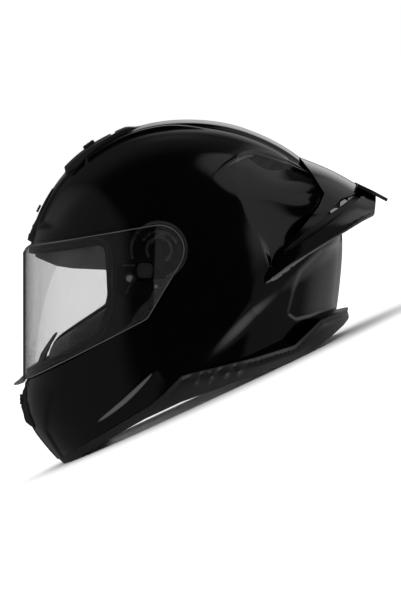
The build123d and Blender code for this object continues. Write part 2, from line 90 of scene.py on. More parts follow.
CAVITY_PROFILE = [
    (-104.0, 0.0, 2.3), (-92.0, 42.0, 2.2), (-55.0, 75.0, 2.1), (0.0, 86.0, 2.1), (56.0, 75.0, 2.1),
    (92.0, 45.0, 2.2), (104.0, 5.0, 2.3), (98.0, -60.0, 2.5), (80.0, -170.0, 2.6),
    (0.0, -235.0, 2.6), (-88.0, -190.0, 2.6), (-104.0, -80.0, 2.5),
]
COMFORT_SIDE = [(-130, 13.6), (-39.0, 21.6), (-36.5, -0.4), (41.0, 6.6), (72.0, -14.4),
                (76.0, -79.4), (122.0, -69.4), (200.0, -32.4), (200.0, 150.0), (-130, 150.0)]
TEMPLE_SIDE = [(-98.0, 16.0), (-98.0, -11.5), (-80.0, -17.0), (-41.5, -18.5), (-41.5, 18.0)]
CHEEK_SIDE = [(-39.0, -6.0), (40.0, 0.0), (66.0, -19.0), (70.0, -99.0), (19.5, -111.0),
              (-8.0, -138.0), (-73.0, -179.0), (-73.0, -122.0), (-104.0, -122.0),
              (-106.0, -97.0), (-95.0, -85.0), (-51.0, -56.0), (-38.0, -44.0)]
CHEEK_ROUNDING = [4, 16, 10, 8, 4, 4, 4, 4, 3, 4, 5, 10, 9]
CHEEK_MIDDLE = (0.0, -70.0)
NECK_SIDE = [(74.0, -86.0), (122.0, -74.5), (148.0, -52.5), (200.0, -38.5), (200.0, -49.0),
             (150.4, -64.5), (126.0, -86.8), (88.4, -98.0), (74.0, -101.4)]
SPOILER_SLOT = [(112.0, -4.0), (125.3, 1.6), (160.6, 25.4), (190.5, 49.6), (187.5, 52.4),
                (169.7, 46.5), (153.2, 29.5), (122.7, 5.6)]


def stand(points):
    """Head frame in millimetres to row frame in metres."""
    p = np.asarray(points, float).reshape(-1, 3)
    c, s = math.cos(REST_TILT), math.sin(REST_TILT)
    y = p[:, 1] * c + p[:, 2] * s - MID_Y
    z = -p[:, 1] * s + p[:, 2] * c + REST_HEIGHT
    return np.stack([p[:, 0], y, z], 1) * MM


def head(points):
    """Row frame in metres back to head frame in millimetres."""
    p = np.asarray(points, float).reshape(-1, 3) / MM
    c, s = math.cos(REST_TILT), math.sin(REST_TILT)
    y, z = p[:, 1] + MID_Y, p[:, 2] - REST_HEIGHT
    return np.stack([p[:, 0], y * c - z * s, y * s + z * c], 1)


def add_object(name, data):
    """New object in the scene."""
    obj = bpy.data.objects.new(name, data)
    bpy.context.scene.collection.objects.link(obj)
    return obj


# ---------------------------------------------------------------- camera
VIEW_CENTRE, VIEW_HEIGHT = (0.0, 39.95, -50.29), 564.94
CAMERA_AWAY, CAMERA_RISE, SENSOR_WIDTH = 8.0, math.radians(1.8), 36.0
aim = Vector(stand([VIEW_CENTRE])[0])
look = Vector((-math.cos(CAMERA_RISE), 0, -math.sin(CAMERA_RISE)))
side, up = Vector((0, 1, 0)), Vector((-math.sin(CAMERA_RISE), 0, math.cos(CAMERA_RISE)))
right = side * math.cos(REST_TILT) - up * math.sin(REST_TILT)
top = side * math.sin(REST_TILT) + up * math.cos(REST_TILT)
camera_data = bpy.data.cameras.new("camera")
camera = add_object("camera", camera_data)
camera_data.sensor_width = SENSOR_WIDTH
camera_data.lens = SENSOR_WIDTH * CAMERA_AWAY / (VIEW_HEIGHT * MM)
camera_data.clip_end = 60.0
basis = Matrix((right, top, -look)).transposed().to_4x4()
camera.matrix_world = Matrix.Translation(aim - look * CAMERA_AWAY) @ basis
bpy.context.scene.camera = camera


# ---------------------------------------------------------------- mesh helpers
def link(name, mesh, look, body="helmet", replaces=(), sharp=30.0):
    """Put a mesh in the scene as a piece that rides on a body; sharp is an angle in degrees."""
    obj = add_object(name, mesh)
    mesh.materials.clear()
    mesh.materials.append(look)
    mesh.shade_smooth()
    if sharp is not None:
        mesh.set_sharp_from_angle(angle=math.radians(sharp))
    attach(obj, body)
    if replaces:
        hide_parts(*replaces)
    return obj


def closed(name, points, faces, head_frame=True):
    """Mesh of a closed shape with its faces turned outwards."""
    mesh = bpy.data.meshes.new(name)
    mesh.from_pydata((stand(points) if head_frame else np.asarray(points)).tolist(), [], faces)
    mesh.validate()
    bm = bmesh.new()
    bm.from_mesh(mesh)
    bmesh.ops.recalc_face_normals(bm, faces=bm.faces)
    bm.to_mesh(mesh)
    bm.free()
    return mesh


CORNERS = ((-1, -1), (1, -1), (1, 1), (-1, 1))
BOX_FACES = [(3, 2, 1, 0), (4, 5, 6, 7), (0, 1, 5, 4), (1, 2, 6, 5), (2, 3, 7, 6), (3, 0, 4, 7)]


def prism_faces(n):
    """Faces of a prism between two rings of n points."""
    caps = [list(range(n))[::-1], list(range(n, 2 * n))]
    return caps + [[i, (i + 1) % n, (i + 1) % n + n, i + n] for i in range(n)]


def tube_faces(rows, n, loop=False):
    """Faces between rings of n points, capped at both ends unless the rings close on themselves."""
    k = np.arange(rows * n).reshape(rows, n)
    here, after = (k, np.roll(k, -1, 0)) if loop else (k[:-1], k[1:])
    faces = np.stack([here, np.roll(here, -1, 1), np.roll(after, -1, 1), after], -1)
    caps = [] if loop else [k[0][::-1].tolist(), k[-1].tolist()]
    return faces.reshape(-1, 4).tolist() + caps


def between(name, front, back):
    """Closed mesh of two grids of points, with a rim round their border."""
    rows, n = front.shape[:2]
    count = rows * n
    k = np.arange(count).reshape(rows, n)
    faces = np.stack([k[:-1, :-1], k[:-1, 1:], k[1:, 1:], k[1:, :-1]], -1).reshape(-1, 4)
    border = np.concatenate([k[0, :-1], k[:-1, -1], k[-1, :0:-1], k[:0:-1, 0]])
    onward = np.roll(border, -1)
    rim = np.stack([border, border + count, onward + count, onward], -1)
    points = np.concatenate([front.reshape(-1, 3), back.reshape(-1, 3)])
    return closed(name, points, np.concatenate([faces, faces[:, ::-1] + count, rim]).tolist())


def periodic_cubic(knots, values):
    """Periodic cubic spline over one turn, as a function of an angle array."""
    order = np.argsort(knots)
    t, v = np.asarray(knots)[order], np.asarray(values)[order]
    n, h = len(t), np.diff(np.append(t, t[0] + 2 * math.pi))
    a, b = np.zeros((n, n)), np.zeros(n)
    for i in range(n):
        before, after = (i - 1) % n, (i + 1) % n
        a[i, before], a[i, i], a[i, after] = h[before], 2 * (h[before] + h[i]), h[i]
        b[i] = 6 * ((v[after] - v[i]) / h[i] - (v[i] - v[before]) / h[before])
    m = np.linalg.solve(a, b)

    def curve(angle):
        x = (np.asarray(angle, float) - t[0]) % (2 * math.pi) + t[0]
        i = np.clip(np.searchsorted(t, x, side="right") - 1, 0, n - 1)
        j, left = (i + 1) % n, x - t[i]
        right_part = h[i] - left
        return (m[i] * right_part**3 + m[j] * left**3) / (6 * h[i]) + (
            v[i] / h[i] - m[i] * h[i] / 6) * right_part + (v[j] / h[i] - m[j] * h[i] / 6) * left

    return curve


class Form:
    """Egg-shaped form about the X axis, as the CAD lofts it."""

    def __init__(self, half_width, profile, grow=None):
        grow = grow or {}
        y, z, n = np.array(profile).T
        reach = np.hypot(y, z) + np.array([grow.get(i, 0.0) for i in range(len(y))])
        angle = np.arctan2(z, y)
        self.half_width = half_width
        self.reach = periodic_cubic(angle, reach)
        self.fullness = periodic_cubic(angle, n)

    def points(self, angle, share, inset=0.0):
        n = self.fullness(angle)
        reach = (self.reach(angle) - inset) * (1 - np.abs(share) ** n) ** (1 / n)
        return np.stack([share * (self.half_width - inset), reach * np.cos(angle),
                         reach * np.sin(angle)], -1)

    def x_at(self, y, z, inset=0.0):
        """Half width of the form at a place in the side view; 0 outside it."""
        angle = np.arctan2(z, y)
        n = self.fullness(angle)
        ratio = np.clip(np.hypot(y, z) / (self.reach(angle) - inset), 0, 1)
        return (self.half_width - inset) * (1 - ratio**n) ** (1 / n)

    def level(self, p):
        """1 on the form, less inside it."""
        angle = np.arctan2(p[..., 2], p[..., 1])
        n = self.fullness(angle)
        reach = np.hypot(p[..., 1], p[..., 2]) / self.reach(angle)
        return (reach**n + np.abs(p[..., 0] / self.half_width) ** n) ** (1 / n)

    def patch(self, name, angles, half_widths, height):
        """Closed shallow pad: its face stands height(angle, x) off the form, its root is inside."""
        root, t = 1.5, np.linspace(-1, 1, 41)
        aa = np.repeat(np.radians(angles)[:, None], len(t), 1)
        xx = np.asarray(half_widths)[:, None] * t[None, :]
        top = self.points(aa, xx / self.half_width, -height(np.degrees(aa), xx))
        return between(name, top, self.points(aa, xx / self.half_width, root))

    def grid(self, turns, rows, inset=0.0, push=None, last=88.6, spread=None):
        """Points and faces of rings about the X axis, pushed out along the form's normals and
        spread sideways."""
        angle = np.linspace(-math.pi, math.pi, turns, endpoint=False)
        lean = np.radians(np.linspace(-last, last, rows))
        aa, ll = np.meshgrid(angle, lean)
        p = self.points(aa, np.sin(ll), inset)
        if push:
            du = np.roll(p, -1, 1) - np.roll(p, 1, 1)
            dv = np.gradient(p, axis=0)
            normal = np.cross(du, dv)
            normal /= np.linalg.norm(normal, axis=2, keepdims=True) + 1e-9
            outward = np.sum(normal * p, axis=2, keepdims=True)
            p = p + normal * np.sign(outward) * push(p)[..., None]
        if spread:
            p[..., 0] += np.sign(p[..., 0]) * spread(p)
        return p.reshape(-1, 3), tube_faces(rows, turns)

    def solid(self, name, turns=200, rows=90, **options):
        return closed(name, *self.grid(turns, rows, **options))


def cutter(name, outline, low=-200.0, high=200.0):
    """Closed prism along X of a side view's (y, z) outline."""
    return closed(name, [(x, y, z) for x in (low, high) for y, z in outline],
                  prism_faces(len(outline)))


def deep_prism(name, outline, low, high, head_frame=True):
    """Closed prism along Y of an (x, z) outline."""
    return closed(name, [(x, y, z) for y in (low, high) for x, z in outline],
                  prism_faces(len(outline)), head_frame)


def upright_prism(name, plan, low, high):
    """Closed prism along Z of an (x, y) plan."""
    return closed(name, [(x, y, z) for z in (low, high) for x, y in plan], prism_faces(len(plan)))


def applied(obj, helpers=()):
    """Mesh of an object after its modifiers; the object and its helpers go."""
    graph = bpy.context.evaluated_depsgraph_get()
    result = bpy.data.meshes.new_from_object(obj.evaluated_get(graph))
    for used in (obj, *helpers):
        bpy.data.objects.remove(used)
    return result


def carve(mesh, cuts):
    """Apply (operation, cutter mesh) pairs to a closed mesh and return the result."""
    scratch = add_object("scratch", mesh)
    tools = []
    for operation, tool_mesh in cuts:
        tools.append(add_object("tool", tool_mesh))
        mod = scratch.modifiers.new("cut", "BOOLEAN")
        mod.operation, mod.object, mod.solver = operation, tools[-1], "EXACT"
    return applied(scratch, tools)


def difference(mesh):
    return ("DIFFERENCE", mesh)


def intersection(mesh):
    return ("INTERSECT", mesh)


def rounded(points, radii, steps=8):
    """Polygon with some corners rounded."""
    out = []
    for i, (p, r) in enumerate(zip(points, radii)):
        p = np.array(p, float)
        a = np.array(points[i - 1], float) - p
        b = np.array(points[(i + 1) % len(points)], float) - p
        la, lb = np.linalg.norm(a), np.linalg.norm(b)
        if not r:
            out.append(tuple(p))
            continue
        a, b = a / la, b / lb
        half = math.acos(np.clip(np.dot(a, b), -1, 1)) / 2
        cut = min(r / math.tan(half), 0.48 * la, 0.48 * lb)
        r = cut * math.tan(half)
        centre = p + (a + b) / np.linalg.norm(a + b) * r / math.sin(half)
        start, end = p + a * cut - centre, p + b * cut - centre
        t0, t1 = math.atan2(start[1], start[0]), math.atan2(end[1], end[0])
        turn = (t1 - t0 + math.pi) % (2 * math.pi) - math.pi
        for k in range(steps + 1):
            t = t0 + turn * k / steps
            out.append((centre[0] + r * math.cos(t), centre[1] + r * math.sin(t)))
    return out


def smooth(x, low, high):
    t = np.clip((x - low) / (high - low), 0, 1)
    return t * t * (3 - 2 * t)


def beside(y, z, line):
    """Signed distance to a line in the side view, positive below or behind it as it is walked
    towards the back, and how far along the nearest point is."""
    best = np.full(y.shape, 1e9)
    signed, along, walked = np.zeros(y.shape), np.zeros(y.shape), 0.0
    for (y0, z0), (y1, z1) in zip(line[:-1], line[1:]):
        length = math.hypot(y1 - y0, z1 - z0)
        uy, uz = (y1 - y0) / length, (z1 - z0) / length
        t = np.clip((y - y0) * uy + (z - z0) * uz, 0, length)
        d = np.hypot(y - y0 - t * uy, z - z0 - t * uz)
        turn = (y - y0) * uz - (z - z0) * uy
        near = d < best
        best = np.where(near, d, best)
        signed = np.where(near, np.where(turn >= 0, d, -d), signed)
        along = np.where(near, walked + t, along)
        walked += length
    return signed, along, walked


def inside(y, z, outline):
    """Signed distance into a polygon, positive inside."""
    ring = list(outline) + [outline[0]]
    distance = np.abs(beside(y, z, ring)[0])
    hit = np.zeros(y.shape, bool)
    for (y0, z0), (y1, z1) in zip(ring[:-1], ring[1:]):
        crosses = (z0 > z) != (z1 > z)
        at = (y1 - y0) * (z - z0) / ((z1 - z0) or 1e-9) + y0
        hit ^= crosses & (y < at)
    return np.where(hit, distance, -distance)


shell_form = Form(SHELL_HALF_WIDTH, SHELL_PROFILE)
rim_form = Form(SHELL_HALF_WIDTH, SHELL_PROFILE, RIM_FLARE)
spoiler_form = Form(SPOILER_HALF_WIDTH, SPOILER_PROFILE)


def barrel_x(y, inset=0.0):
    reach = np.where(np.asarray(y) < 0, VISOR_FRONT - inset, VISOR_TAIL - inset)
    ratio = np.clip(np.abs(y) / reach, 0, 1)
    return (VISOR_HALF_WIDTH - inset) * (1 - ratio**VISOR_FULLNESS) ** (1 / VISOR_FULLNESS)


def barrel(inset, low=-150.0, high=60.0):
    """Closed upright barrel with the visor's plan."""
    plan = []
    for sign, reach in ((-1, VISOR_FRONT - inset), (1, VISOR_TAIL - inset)):
        t = np.radians(np.linspace(0, 90, 111))[:-1]
        c, s = np.cos(t) ** (2 / VISOR_FULLNESS), np.sin(t) ** (2 / VISOR_FULLNESS)
        quarter = np.stack([(VISOR_HALF_WIDTH - inset) * c, sign * reach * s], 1)
        plan.append((quarter, sign * reach))
    front, back = plan[0][0], plan[1][0]
    ring = list(map(tuple, front)) + [(0.0, plan[0][1])] + [(-x, y) for x, y in front[::-1]]
    ring += [(-x, y) for x, y in back[1:]] + [(0.0, plan[1][1])]
    ring += [(x, y) for x, y in back[:0:-1]]
    return upright_prism("barrel", ring, low, high)


def visor_outline(grow=0.0):
    """Side view of the visor, made larger all round by grow."""
    ear, slope, low = 23.5, math.radians(10.2), math.radians(27.7)
    r, corner = ear + grow, np.array([-11.0, -64.0])
    tilt = math.atan2(corner[1], corner[0]) + math.acos(ear / np.hypot(*corner))
    heel_dir = np.array([math.cos(tilt), math.sin(tilt)])
    crest_dir = np.array([-math.sin(slope), math.cos(slope)])
    low_dir = np.array([math.sin(low), -math.cos(low)])
    back_angle = (math.acos(float(np.dot(heel_dir, low_dir)))) / 2
    middle = (heel_dir + low_dir) / np.linalg.norm(heel_dir + low_dir)
    corner = corner + middle * grow / math.cos(back_angle)
    front = -170.0
    crest = crest_dir * r
    top_front = (front, crest[1] + (front - crest[0]) * math.tan(slope))
    low_front = (front, corner[1] + (front - corner[0]) * math.tan(low))
    arc = [(r * math.cos(a), r * math.sin(a))
           for a in np.linspace(math.pi / 2 + slope, tilt, 36)]
    outline = [top_front] + arc + [tuple(corner), low_front]
    radii = [0.0] * (len(arc) + 1) + [12.0 + grow, 0.0]
    return rounded(outline, radii, 14)


def resample(points, step):
    """Points at even steps along an open line."""
    p = np.asarray(points, float)
    walked = np.concatenate([[0], np.cumsum(np.linalg.norm(np.diff(p, axis=0), axis=1))])
    at = np.linspace(0, walked[-1], max(2, int(round(walked[-1] / step)) + 1))
    return np.stack([np.interp(at, walked, p[:, i]) for i in range(p.shape[1])], 1)


def sweep(name, path, across, away, profile, loop=False, head_frame=True):
    """Closed mesh of an (across, away) profile carried along a path."""
    prof = np.asarray(profile, float)
    p = path[:, None] + across[:, None] * prof[None, :, :1] + away[:, None] * prof[None, :, 1:]
    return closed(name, p.reshape(-1, 3), tube_faces(*p.shape[:2], loop), head_frame)


def unit(v):
    return v / (np.linalg.norm(v, axis=-1, keepdims=True) + 1e-12)


def circle(y, z, r, n=64):
    return [(y + r * math.cos(t), z + r * math.sin(t))
            for t in np.linspace(0, 2 * math.pi, n, endpoint=False)]


def leaning(lean):
    """Outward and rearward directions of a plane on the middle line that leans by some degrees."""
    a = math.radians(lean)
    return np.array([0, -math.cos(a), math.sin(a)]), np.array([0, math.sin(a), math.cos(a)])


def tangent_box(name, y, z, lean, width, length, low, high, shift=0.0):
    """Block on a plane that leans on the outside of the middle line."""
    out, back = leaning(lean)
    p = [np.array([sx * width / 2, y, z]) + back * (shift + sy * length / 2) + out * h
         for h in (low, high) for sx, sy in CORNERS]
    return closed(name, p, BOX_FACES)


def grip_slider(name, y, z, lean, width, length, low, high, ridges=3, corner=2.0):
    """Small slider with rounded corners, a soft edge and raised grip ribs."""
    out, back = leaning(lean)
    corners = [(sx * width / 2, sy * length / 2) for sx, sy in CORNERS]
    outline = np.array(rounded(corners, [corner] * 4, 6))
    rings, heights = [], []
    for share, h in ((1.0, low), (1.0, high - 0.7), (0.985, high - 0.3), (0.95, high - 0.08)):
        rings.append(outline * share)
        heights.append(np.full(len(outline), h))
    for share in np.linspace(0.9, 0.06, 16):
        ring = outline * share
        ribs = np.maximum(0, np.cos(2 * math.pi * ridges * ring[:, 1] / (length * 0.9))) ** 2
        inner = smooth(0.8 - np.abs(ring[:, 0]) / (width / 2), 0.0, 0.12)
        rings.append(ring)
        heights.append(high + 0.45 * ribs * inner * (share < 0.85))
    p = [np.array([u, y, z]) + back * v + out * h
         for ring, level in zip(rings, heights) for (u, v), h in zip(ring, level)]
    return closed(name, p, tube_faces(len(rings), len(outline)))


def joined(meshes):
    """One mesh of several closed ones."""
    bm = bmesh.new()
    for mesh in meshes:
        bm.from_mesh(mesh)
    bm.to_mesh(meshes[0])
    bm.free()
    return meshes[0]


def mirrored(mesh, name):
    """The same mesh on the wearer's right."""
    twin = mesh.copy()
    twin.name = name
    twin.transform(Matrix.Scale(-1, 4, (1, 0, 0)))
    twin.flip_normals()
    return twin


def pair(name, mesh, look, body="helmet", replaces=(), sharp=30.0):
    """A left piece and its mirrored twin; names and nodes end in _left and _right."""
    made = []
    for end in ("_left", "_right"):
        this = mesh if end == "_left" else mirrored(mesh, name + end)
        ride = body + end if body.endswith("lever") else body
        made.append(link(name + end, this, look, ride, [n + end for n in replaces], sharp))
    return made


def soften(mesh, voxel, rounds):
    """Even remesh of a closed shape with its edges worn round."""
    scratch = add_object("scratch", mesh)
    mod = scratch.modifiers.new("even", "REMESH")
    mod.mode, mod.voxel_size = "VOXEL", voxel * MM
    mod = scratch.modifiers.new("round", "SMOOTH")
    mod.iterations, mod.factor = rounds, 0.5
    return applied(scratch)


def reshape(mesh, change):
    """Move a mesh's points: change takes and gives head frame points and their normals."""
    n = len(mesh.vertices)
    co, normal = np.zeros(n * 3), np.zeros(n * 3)
    mesh.vertices.foreach_get("co", co)
    mesh.vertices.foreach_get("normal", normal)
    p = head(co.reshape(-1, 3))
    tips = head(co.reshape(-1, 3) + normal.reshape(-1, 3) * MM)
    moved = stand(change(p, tips - p))
    mesh.vertices.foreach_set("co", moved.reshape(-1))
    mesh.update()


# ---------------------------------------------------------------- shell styling
BLADE_LINE = [(-2.8, -132.5), (20.2, -111.9), (81.8, -49.8), (91.2, -42.3), (114.7, -23.5),
              (138.2, -5.6), (161.7, 8.5), (189.9, 25.4), (215.0, 38.0)]
PANEL_LINE = [(48.0, 66.0), (63.0, 79.0), (81.8, 89.6), (90.0, 91.2), (105.0, 87.5),
              (122.2, 81.5), (142.9, 70.5)]
REAR_PANEL = [(129.0, -19.0), (117.8, -61.1), (128.7, -69.6), (145.5, -65.8), (190.0, -50.0),
              (190.0, 14.0), (150.0, 2.0)]
FLARE_FRONT = [(73.3, 76.0), (72.4, 52.6), (88.4, 17.9), (101.5, -12.2)]
FLARE_BACK = [(142.9, 70.5), (154.2, 51.7), (148.5, 39.5), (117.5, 1.9), (96.0, -27.0)]
CHIN_CREASE = [(-62.0, -164.2), (-34.0, -140.0), (-3.0, -111.0)]
CHIN_FACET = [(-96.0, -128.0), (-103.0, -150.4), (-104.5, -169.7), (-90.7, -193.6), (-80.0, -204.0)]


def panel_place(y, z):
    """Share of the way over the rear side panel to the spoiler, and how far ahead of it."""
    behind, ahead = -beside(y, z, FLARE_FRONT)[0], beside(y, z, FLARE_BACK)[0]
    share = np.clip(behind, 0, None) / (np.clip(behind, 0, None) + np.clip(ahead, 0, None) + 1e-6)
    over = 1 - smooth(-beside(y, z, PANEL_LINE)[0], 0.0, 2.5)
    return share * over * (y > 60) * (z > -30), ahead


def shell_flare(p):
    """How far the rear side panel leans out sideways to meet the spoiler."""
    y, z = p[..., 1], p[..., 2]
    share, ahead = panel_place(y, z)
    gap = np.clip(spoiler_form.x_at(y, z) - shell_form.x_at(y, z) - 0.5, 0, 60)
    lean = gap * share**1.7 * smooth(z, 8, 60) - 10.0 * smooth(-ahead, -1.4, 1.0)
    return np.clip(lean, 0, None) * (1 - smooth(-ahead, 1.0, 8.0))


def shell_push(p):
    """How far the styled shell stands out from its plain form, in millimetres."""
    x, y, z = np.abs(p[..., 0]), p[..., 1], p[..., 2]
    angle = np.degrees(np.arctan2(z, y))
    # The crown's broad channel and the ridge along each side of the crown vent.
    over = smooth(angle, 20, 36) * (1 - smooth(angle, 166, 172))
    push = -2.4 * smooth(x, 28.5, 32.0) * (1 - smooth(x, 52, 84)) * over
    ridge = smooth(angle, 66, 88) * (1 - smooth(angle, 128.5, 131.5))
    push += 3.0 * ridge * smooth(x, 29.5, 33.5) * (1 - smooth(x, 36.0, 41.5))
    # The blade: a step that grows from the chin to the spoiler's fin.
    d, along, _ = beside(y, z, BLADE_LINE)
    grows = smooth(along, 4, 118) * smooth(x, 18, 62)
    push += 2.3 * grows * np.exp(-(np.minimum(d, 0) / 34.0) ** 2) * (d < 0)
    push += grows * (2.3 - 5.0 * smooth(d, 0.0, 20.0)) * (d >= 0)
    # The rear side panel: a raised line over it and a shallow dish below.
    d, along, _ = beside(y, z, PANEL_LINE)
    fade = smooth(along, 0, 34) * smooth(x, 22, 40)
    dish = smooth(d, 0.0, 3.2) * (1 - smooth(d, 12, 40))
    push += fade * (0.9 * np.exp(-(d / 1.5) ** 2) - 1.9 * dish)
    # The chin's crease: a lens-shaped undercut, widest in its middle.
    d, along, length = beside(y, z, CHIN_CREASE)
    wide = 4.4 * np.sin(math.pi * np.clip(along / length, 0, 1)) ** 0.8 + 0.01
    depth = 0.66 * wide * smooth(x, 20, 60) * (along > 0) * (along < length)
    push -= depth * np.where(d > 0, np.clip(d / wide, 0, 1) * (1 - smooth(d, wide, wide + 26)), 0)
    # The hollow of the side panel where it leans out to the spoiler.
    share, ahead = panel_place(y, z)
    push -= 8.0 * share * (1 - share) * (ahead > 0)
    # The sunk panel over the neck.
    push -= 1.4 * smooth(inside(y, z, REAR_PANEL), 0.0, 6.5) * smooth(x, 12, 30)
    # The chin's front facet.
    d, along, _ = beside(y, z, CHIN_FACET)
    push += 1.6 * smooth(d, -1.2, 1.2) * smooth(along, 0, 20) * (z < -120) * (y < -60)
    return push


# ---------------------------------------------------------------- materials
def material(name, colour, rough, metallic=0.0, **sockets):
    """Principled material with its constant sockets set directly."""
    mat = bpy.data.materials.new(name)
    mat.use_nodes = True
    shader = principled(mat)
    shader.inputs["Base Color"].default_value = (*colour, 1)
    shader.inputs["Roughness"].default_value = rough
    shader.inputs["Metallic"].default_value = metallic
    for key, value in sockets.items():
        shader.inputs[key.replace("_", " ")].default_value = value
    return mat


def principled(mat):
    return mat.node_tree.nodes["Principled BSDF"]


def shade(colour, share):
    return tuple(part * share for part in colour)


def node(mat, kind, **values):
    made = mat.node_tree.nodes.new(kind)
    for key, value in values.items():
        if key in made.inputs:
            made.inputs[key].default_value = value
        else:
            setattr(made, key, value)
    return made


def wire(mat, source, output, target, entry):
    """Join a node's output to another's input; both by name or by number."""
    mat.node_tree.links.new(source.outputs[output], target.inputs[entry])


def coordinates(mat, scale=(1, 1, 1), rotation=(0, 0, 0)):
    place = node(mat, "ShaderNodeTexCoord")
    turn = node(mat, "ShaderNodeMapping")
    turn.inputs["Scale"].default_value = scale
    turn.inputs["Rotation"].default_value = rotation
    wire(mat, place, "Object", turn, "Vector")
    return turn


def ramp(mat, source, output, stops):
    """Colour ramp fed by a factor; stops are (position, colour) pairs."""
    made = node(mat, "ShaderNodeValToRGB")
    wire(mat, source, output, made, "Fac")
    elements = made.color_ramp.elements
    elements[0].position, elements[0].color = stops[0][0], (*stops[0][1], 1)
    elements[1].position, elements[1].color = stops[-1][0], (*stops[-1][1], 1)
    for place, colour in stops[1:-1]:
        elements.new(place).color = (*colour, 1)
    return made


def noise(mat, place, scale, detail=3.0):
    made = node(mat, "ShaderNodeTexNoise", Scale=scale, Detail=detail, Roughness=0.5)
    wire(mat, place, "Vector", made, "Vector")
    return made


def remap(mat, source, output, low, high):
    """Map a 0..1 value to low..high."""
    made = node(mat, "ShaderNodeMapRange")
    wire(mat, source, output, made, "Value")
    made.inputs["To Min"].default_value, made.inputs["To Max"].default_value = low, high
    return made


def bump(mat, source, output, distance, strength=1.0):
    made = node(mat, "ShaderNodeBump", Strength=strength, Distance=distance)
    wire(mat, source, output, made, "Height")
    wire(mat, made, "Normal", principled(mat), "Normal")
    return made


def gloss_paint():
    mat = material("gloss_paint", (0.0006, 0.0006, 0.0007), 0.2, Coat_Weight=1.0,
                   Coat_Roughness=0.02, Specular_IOR_Level=0.12)
    shader = principled(mat)
    place = coordinates(mat)
    flake = noise(mat, place, 2600.0, 1.0)
    tone = ramp(mat, flake, "Fac", [(0.35, (0.0004, 0.0004, 0.0005)),
                                    (0.72, (0.0011, 0.0011, 0.0013))])
    wire(mat, tone, "Color", shader, "Base Color")
    cloud = noise(mat, place, 7.0, 4.0)
    wire(mat, remap(mat, cloud, "Fac", 0.14, 0.27), "Result", shader, "Roughness")
    ripple = noise(mat, place, 240.0, 2.0)
    bump(mat, ripple, "Fac", 0.0000035)
    return mat


def moulded_plastic(name, colour, low, high, grain=1500.0, depth=0.00004):
    mat = material(name, colour, (low + high) / 2)
    shader = principled(mat)
    place = coordinates(mat)
    cloud = noise(mat, place, 24.0, 4.0)
    wire(mat, remap(mat, cloud, "Fac", low, high), "Result", shader, "Roughness")
    tone = ramp(mat, cloud, "Fac", [(0.3, shade(colour, 0.75)), (0.7, shade(colour, 1.3))])
    wire(mat, tone, "Color", shader, "Base Color")
    bump(mat, noise(mat, place, grain, 2.0), "Fac", depth)
    return mat


def knit(name, colour, pitch=0.0011, depth=0.00025):
    """Close knit: crossed waves with a soft blotch of tone."""
    mat = material(name, colour, 0.9, Sheen_Weight=0.35, Sheen_Roughness=0.5)
    shader = principled(mat)
    place = coordinates(mat)
    waves = []
    for axis in ("X", "Y", "Z"):
        wave = node(mat, "ShaderNodeTexWave", bands_direction=axis, wave_profile="SIN")
        wave.inputs["Scale"].default_value = 0.314 / pitch
        wave.inputs["Distortion"].default_value = 0.5
        wire(mat, place, "Vector", wave, "Vector")
        waves.append(wave)
    two, height = (node(mat, "ShaderNodeMath", operation="ADD") for _ in range(2))
    wire(mat, waves[0], "Fac", two, 0)
    wire(mat, waves[1], "Fac", two, 1)
    wire(mat, two, "Value", height, 0)
    wire(mat, waves[2], "Fac", height, 1)
    tone = remap(mat, height, "Value", 0.0, 1.0)
    tone.inputs["From Max"].default_value = 3.0
    weave = ramp(mat, tone, "Result", [(0.25, shade(colour, 0.55)), (0.75, shade(colour, 1.5))])
    blotch = node(mat, "ShaderNodeMix", data_type="RGBA", blend_type="MULTIPLY")
    blotch.inputs["Factor"].default_value = 0.5
    patch = ramp(mat, noise(mat, place, 30.0), "Fac", [(0.3, (0.6, 0.6, 0.6)), (0.7, (1, 1, 1))])
    wire(mat, weave, "Color", blotch, 6)
    wire(mat, patch, "Color", blotch, 7)
    wire(mat, blotch, 2, shader, "Base Color")
    bump(mat, height, "Value", depth)
    return mat


def webbing():
    """Flat woven strap: fine diagonal ribs across its width."""
    mat = material("webbing", (0.012, 0.012, 0.013), 0.75, Sheen_Weight=0.2)
    shader = principled(mat)
    place = coordinates(mat, rotation=(0.7, 0, 0))
    wave = node(mat, "ShaderNodeTexWave", bands_direction="Y", wave_profile="SIN")
    wave.inputs["Scale"].default_value = 260.0
    wire(mat, place, "Vector", wave, "Vector")
    wire(mat, ramp(mat, wave, "Fac", [(0.2, (0.006, 0.006, 0.006)), (0.8, (0.02, 0.02, 0.022))]),
         "Color", shader, "Base Color")
    bump(mat, wave, "Fac", 0.0003)
    return mat


def beaded_foam(name, colour):
    mat = material(name, colour, 0.85)
    place = coordinates(mat)
    bead = node(mat, "ShaderNodeTexVoronoi", Scale=300.0)
    wire(mat, place, "Vector", bead, "Vector")
    tone = ramp(mat, bead, "Distance", [(0.1, shade(colour, 1.3)), (0.7, shade(colour, 0.6))])
    wire(mat, tone, "Color", principled(mat), "Base Color")
    bump(mat, bead, "Distance", 0.0004, 0.7)
    return mat


def steel():
    mat = material("bright_steel", (0.62, 0.62, 0.63), 0.3, 1.0)
    shader = principled(mat)
    place = coordinates(mat, scale=(1, 1, 30))
    streak = noise(mat, place, 180.0, 3.0)
    wire(mat, remap(mat, streak, "Fac", 0.18, 0.42), "Result", shader, "Roughness")
    wire(mat, ramp(mat, streak, "Fac", [(0.3, (0.5, 0.5, 0.51)), (0.7, (0.7, 0.7, 0.71))]),
         "Color", shader, "Base Color")
    bump(mat, streak, "Fac", 0.00001)
    return mat


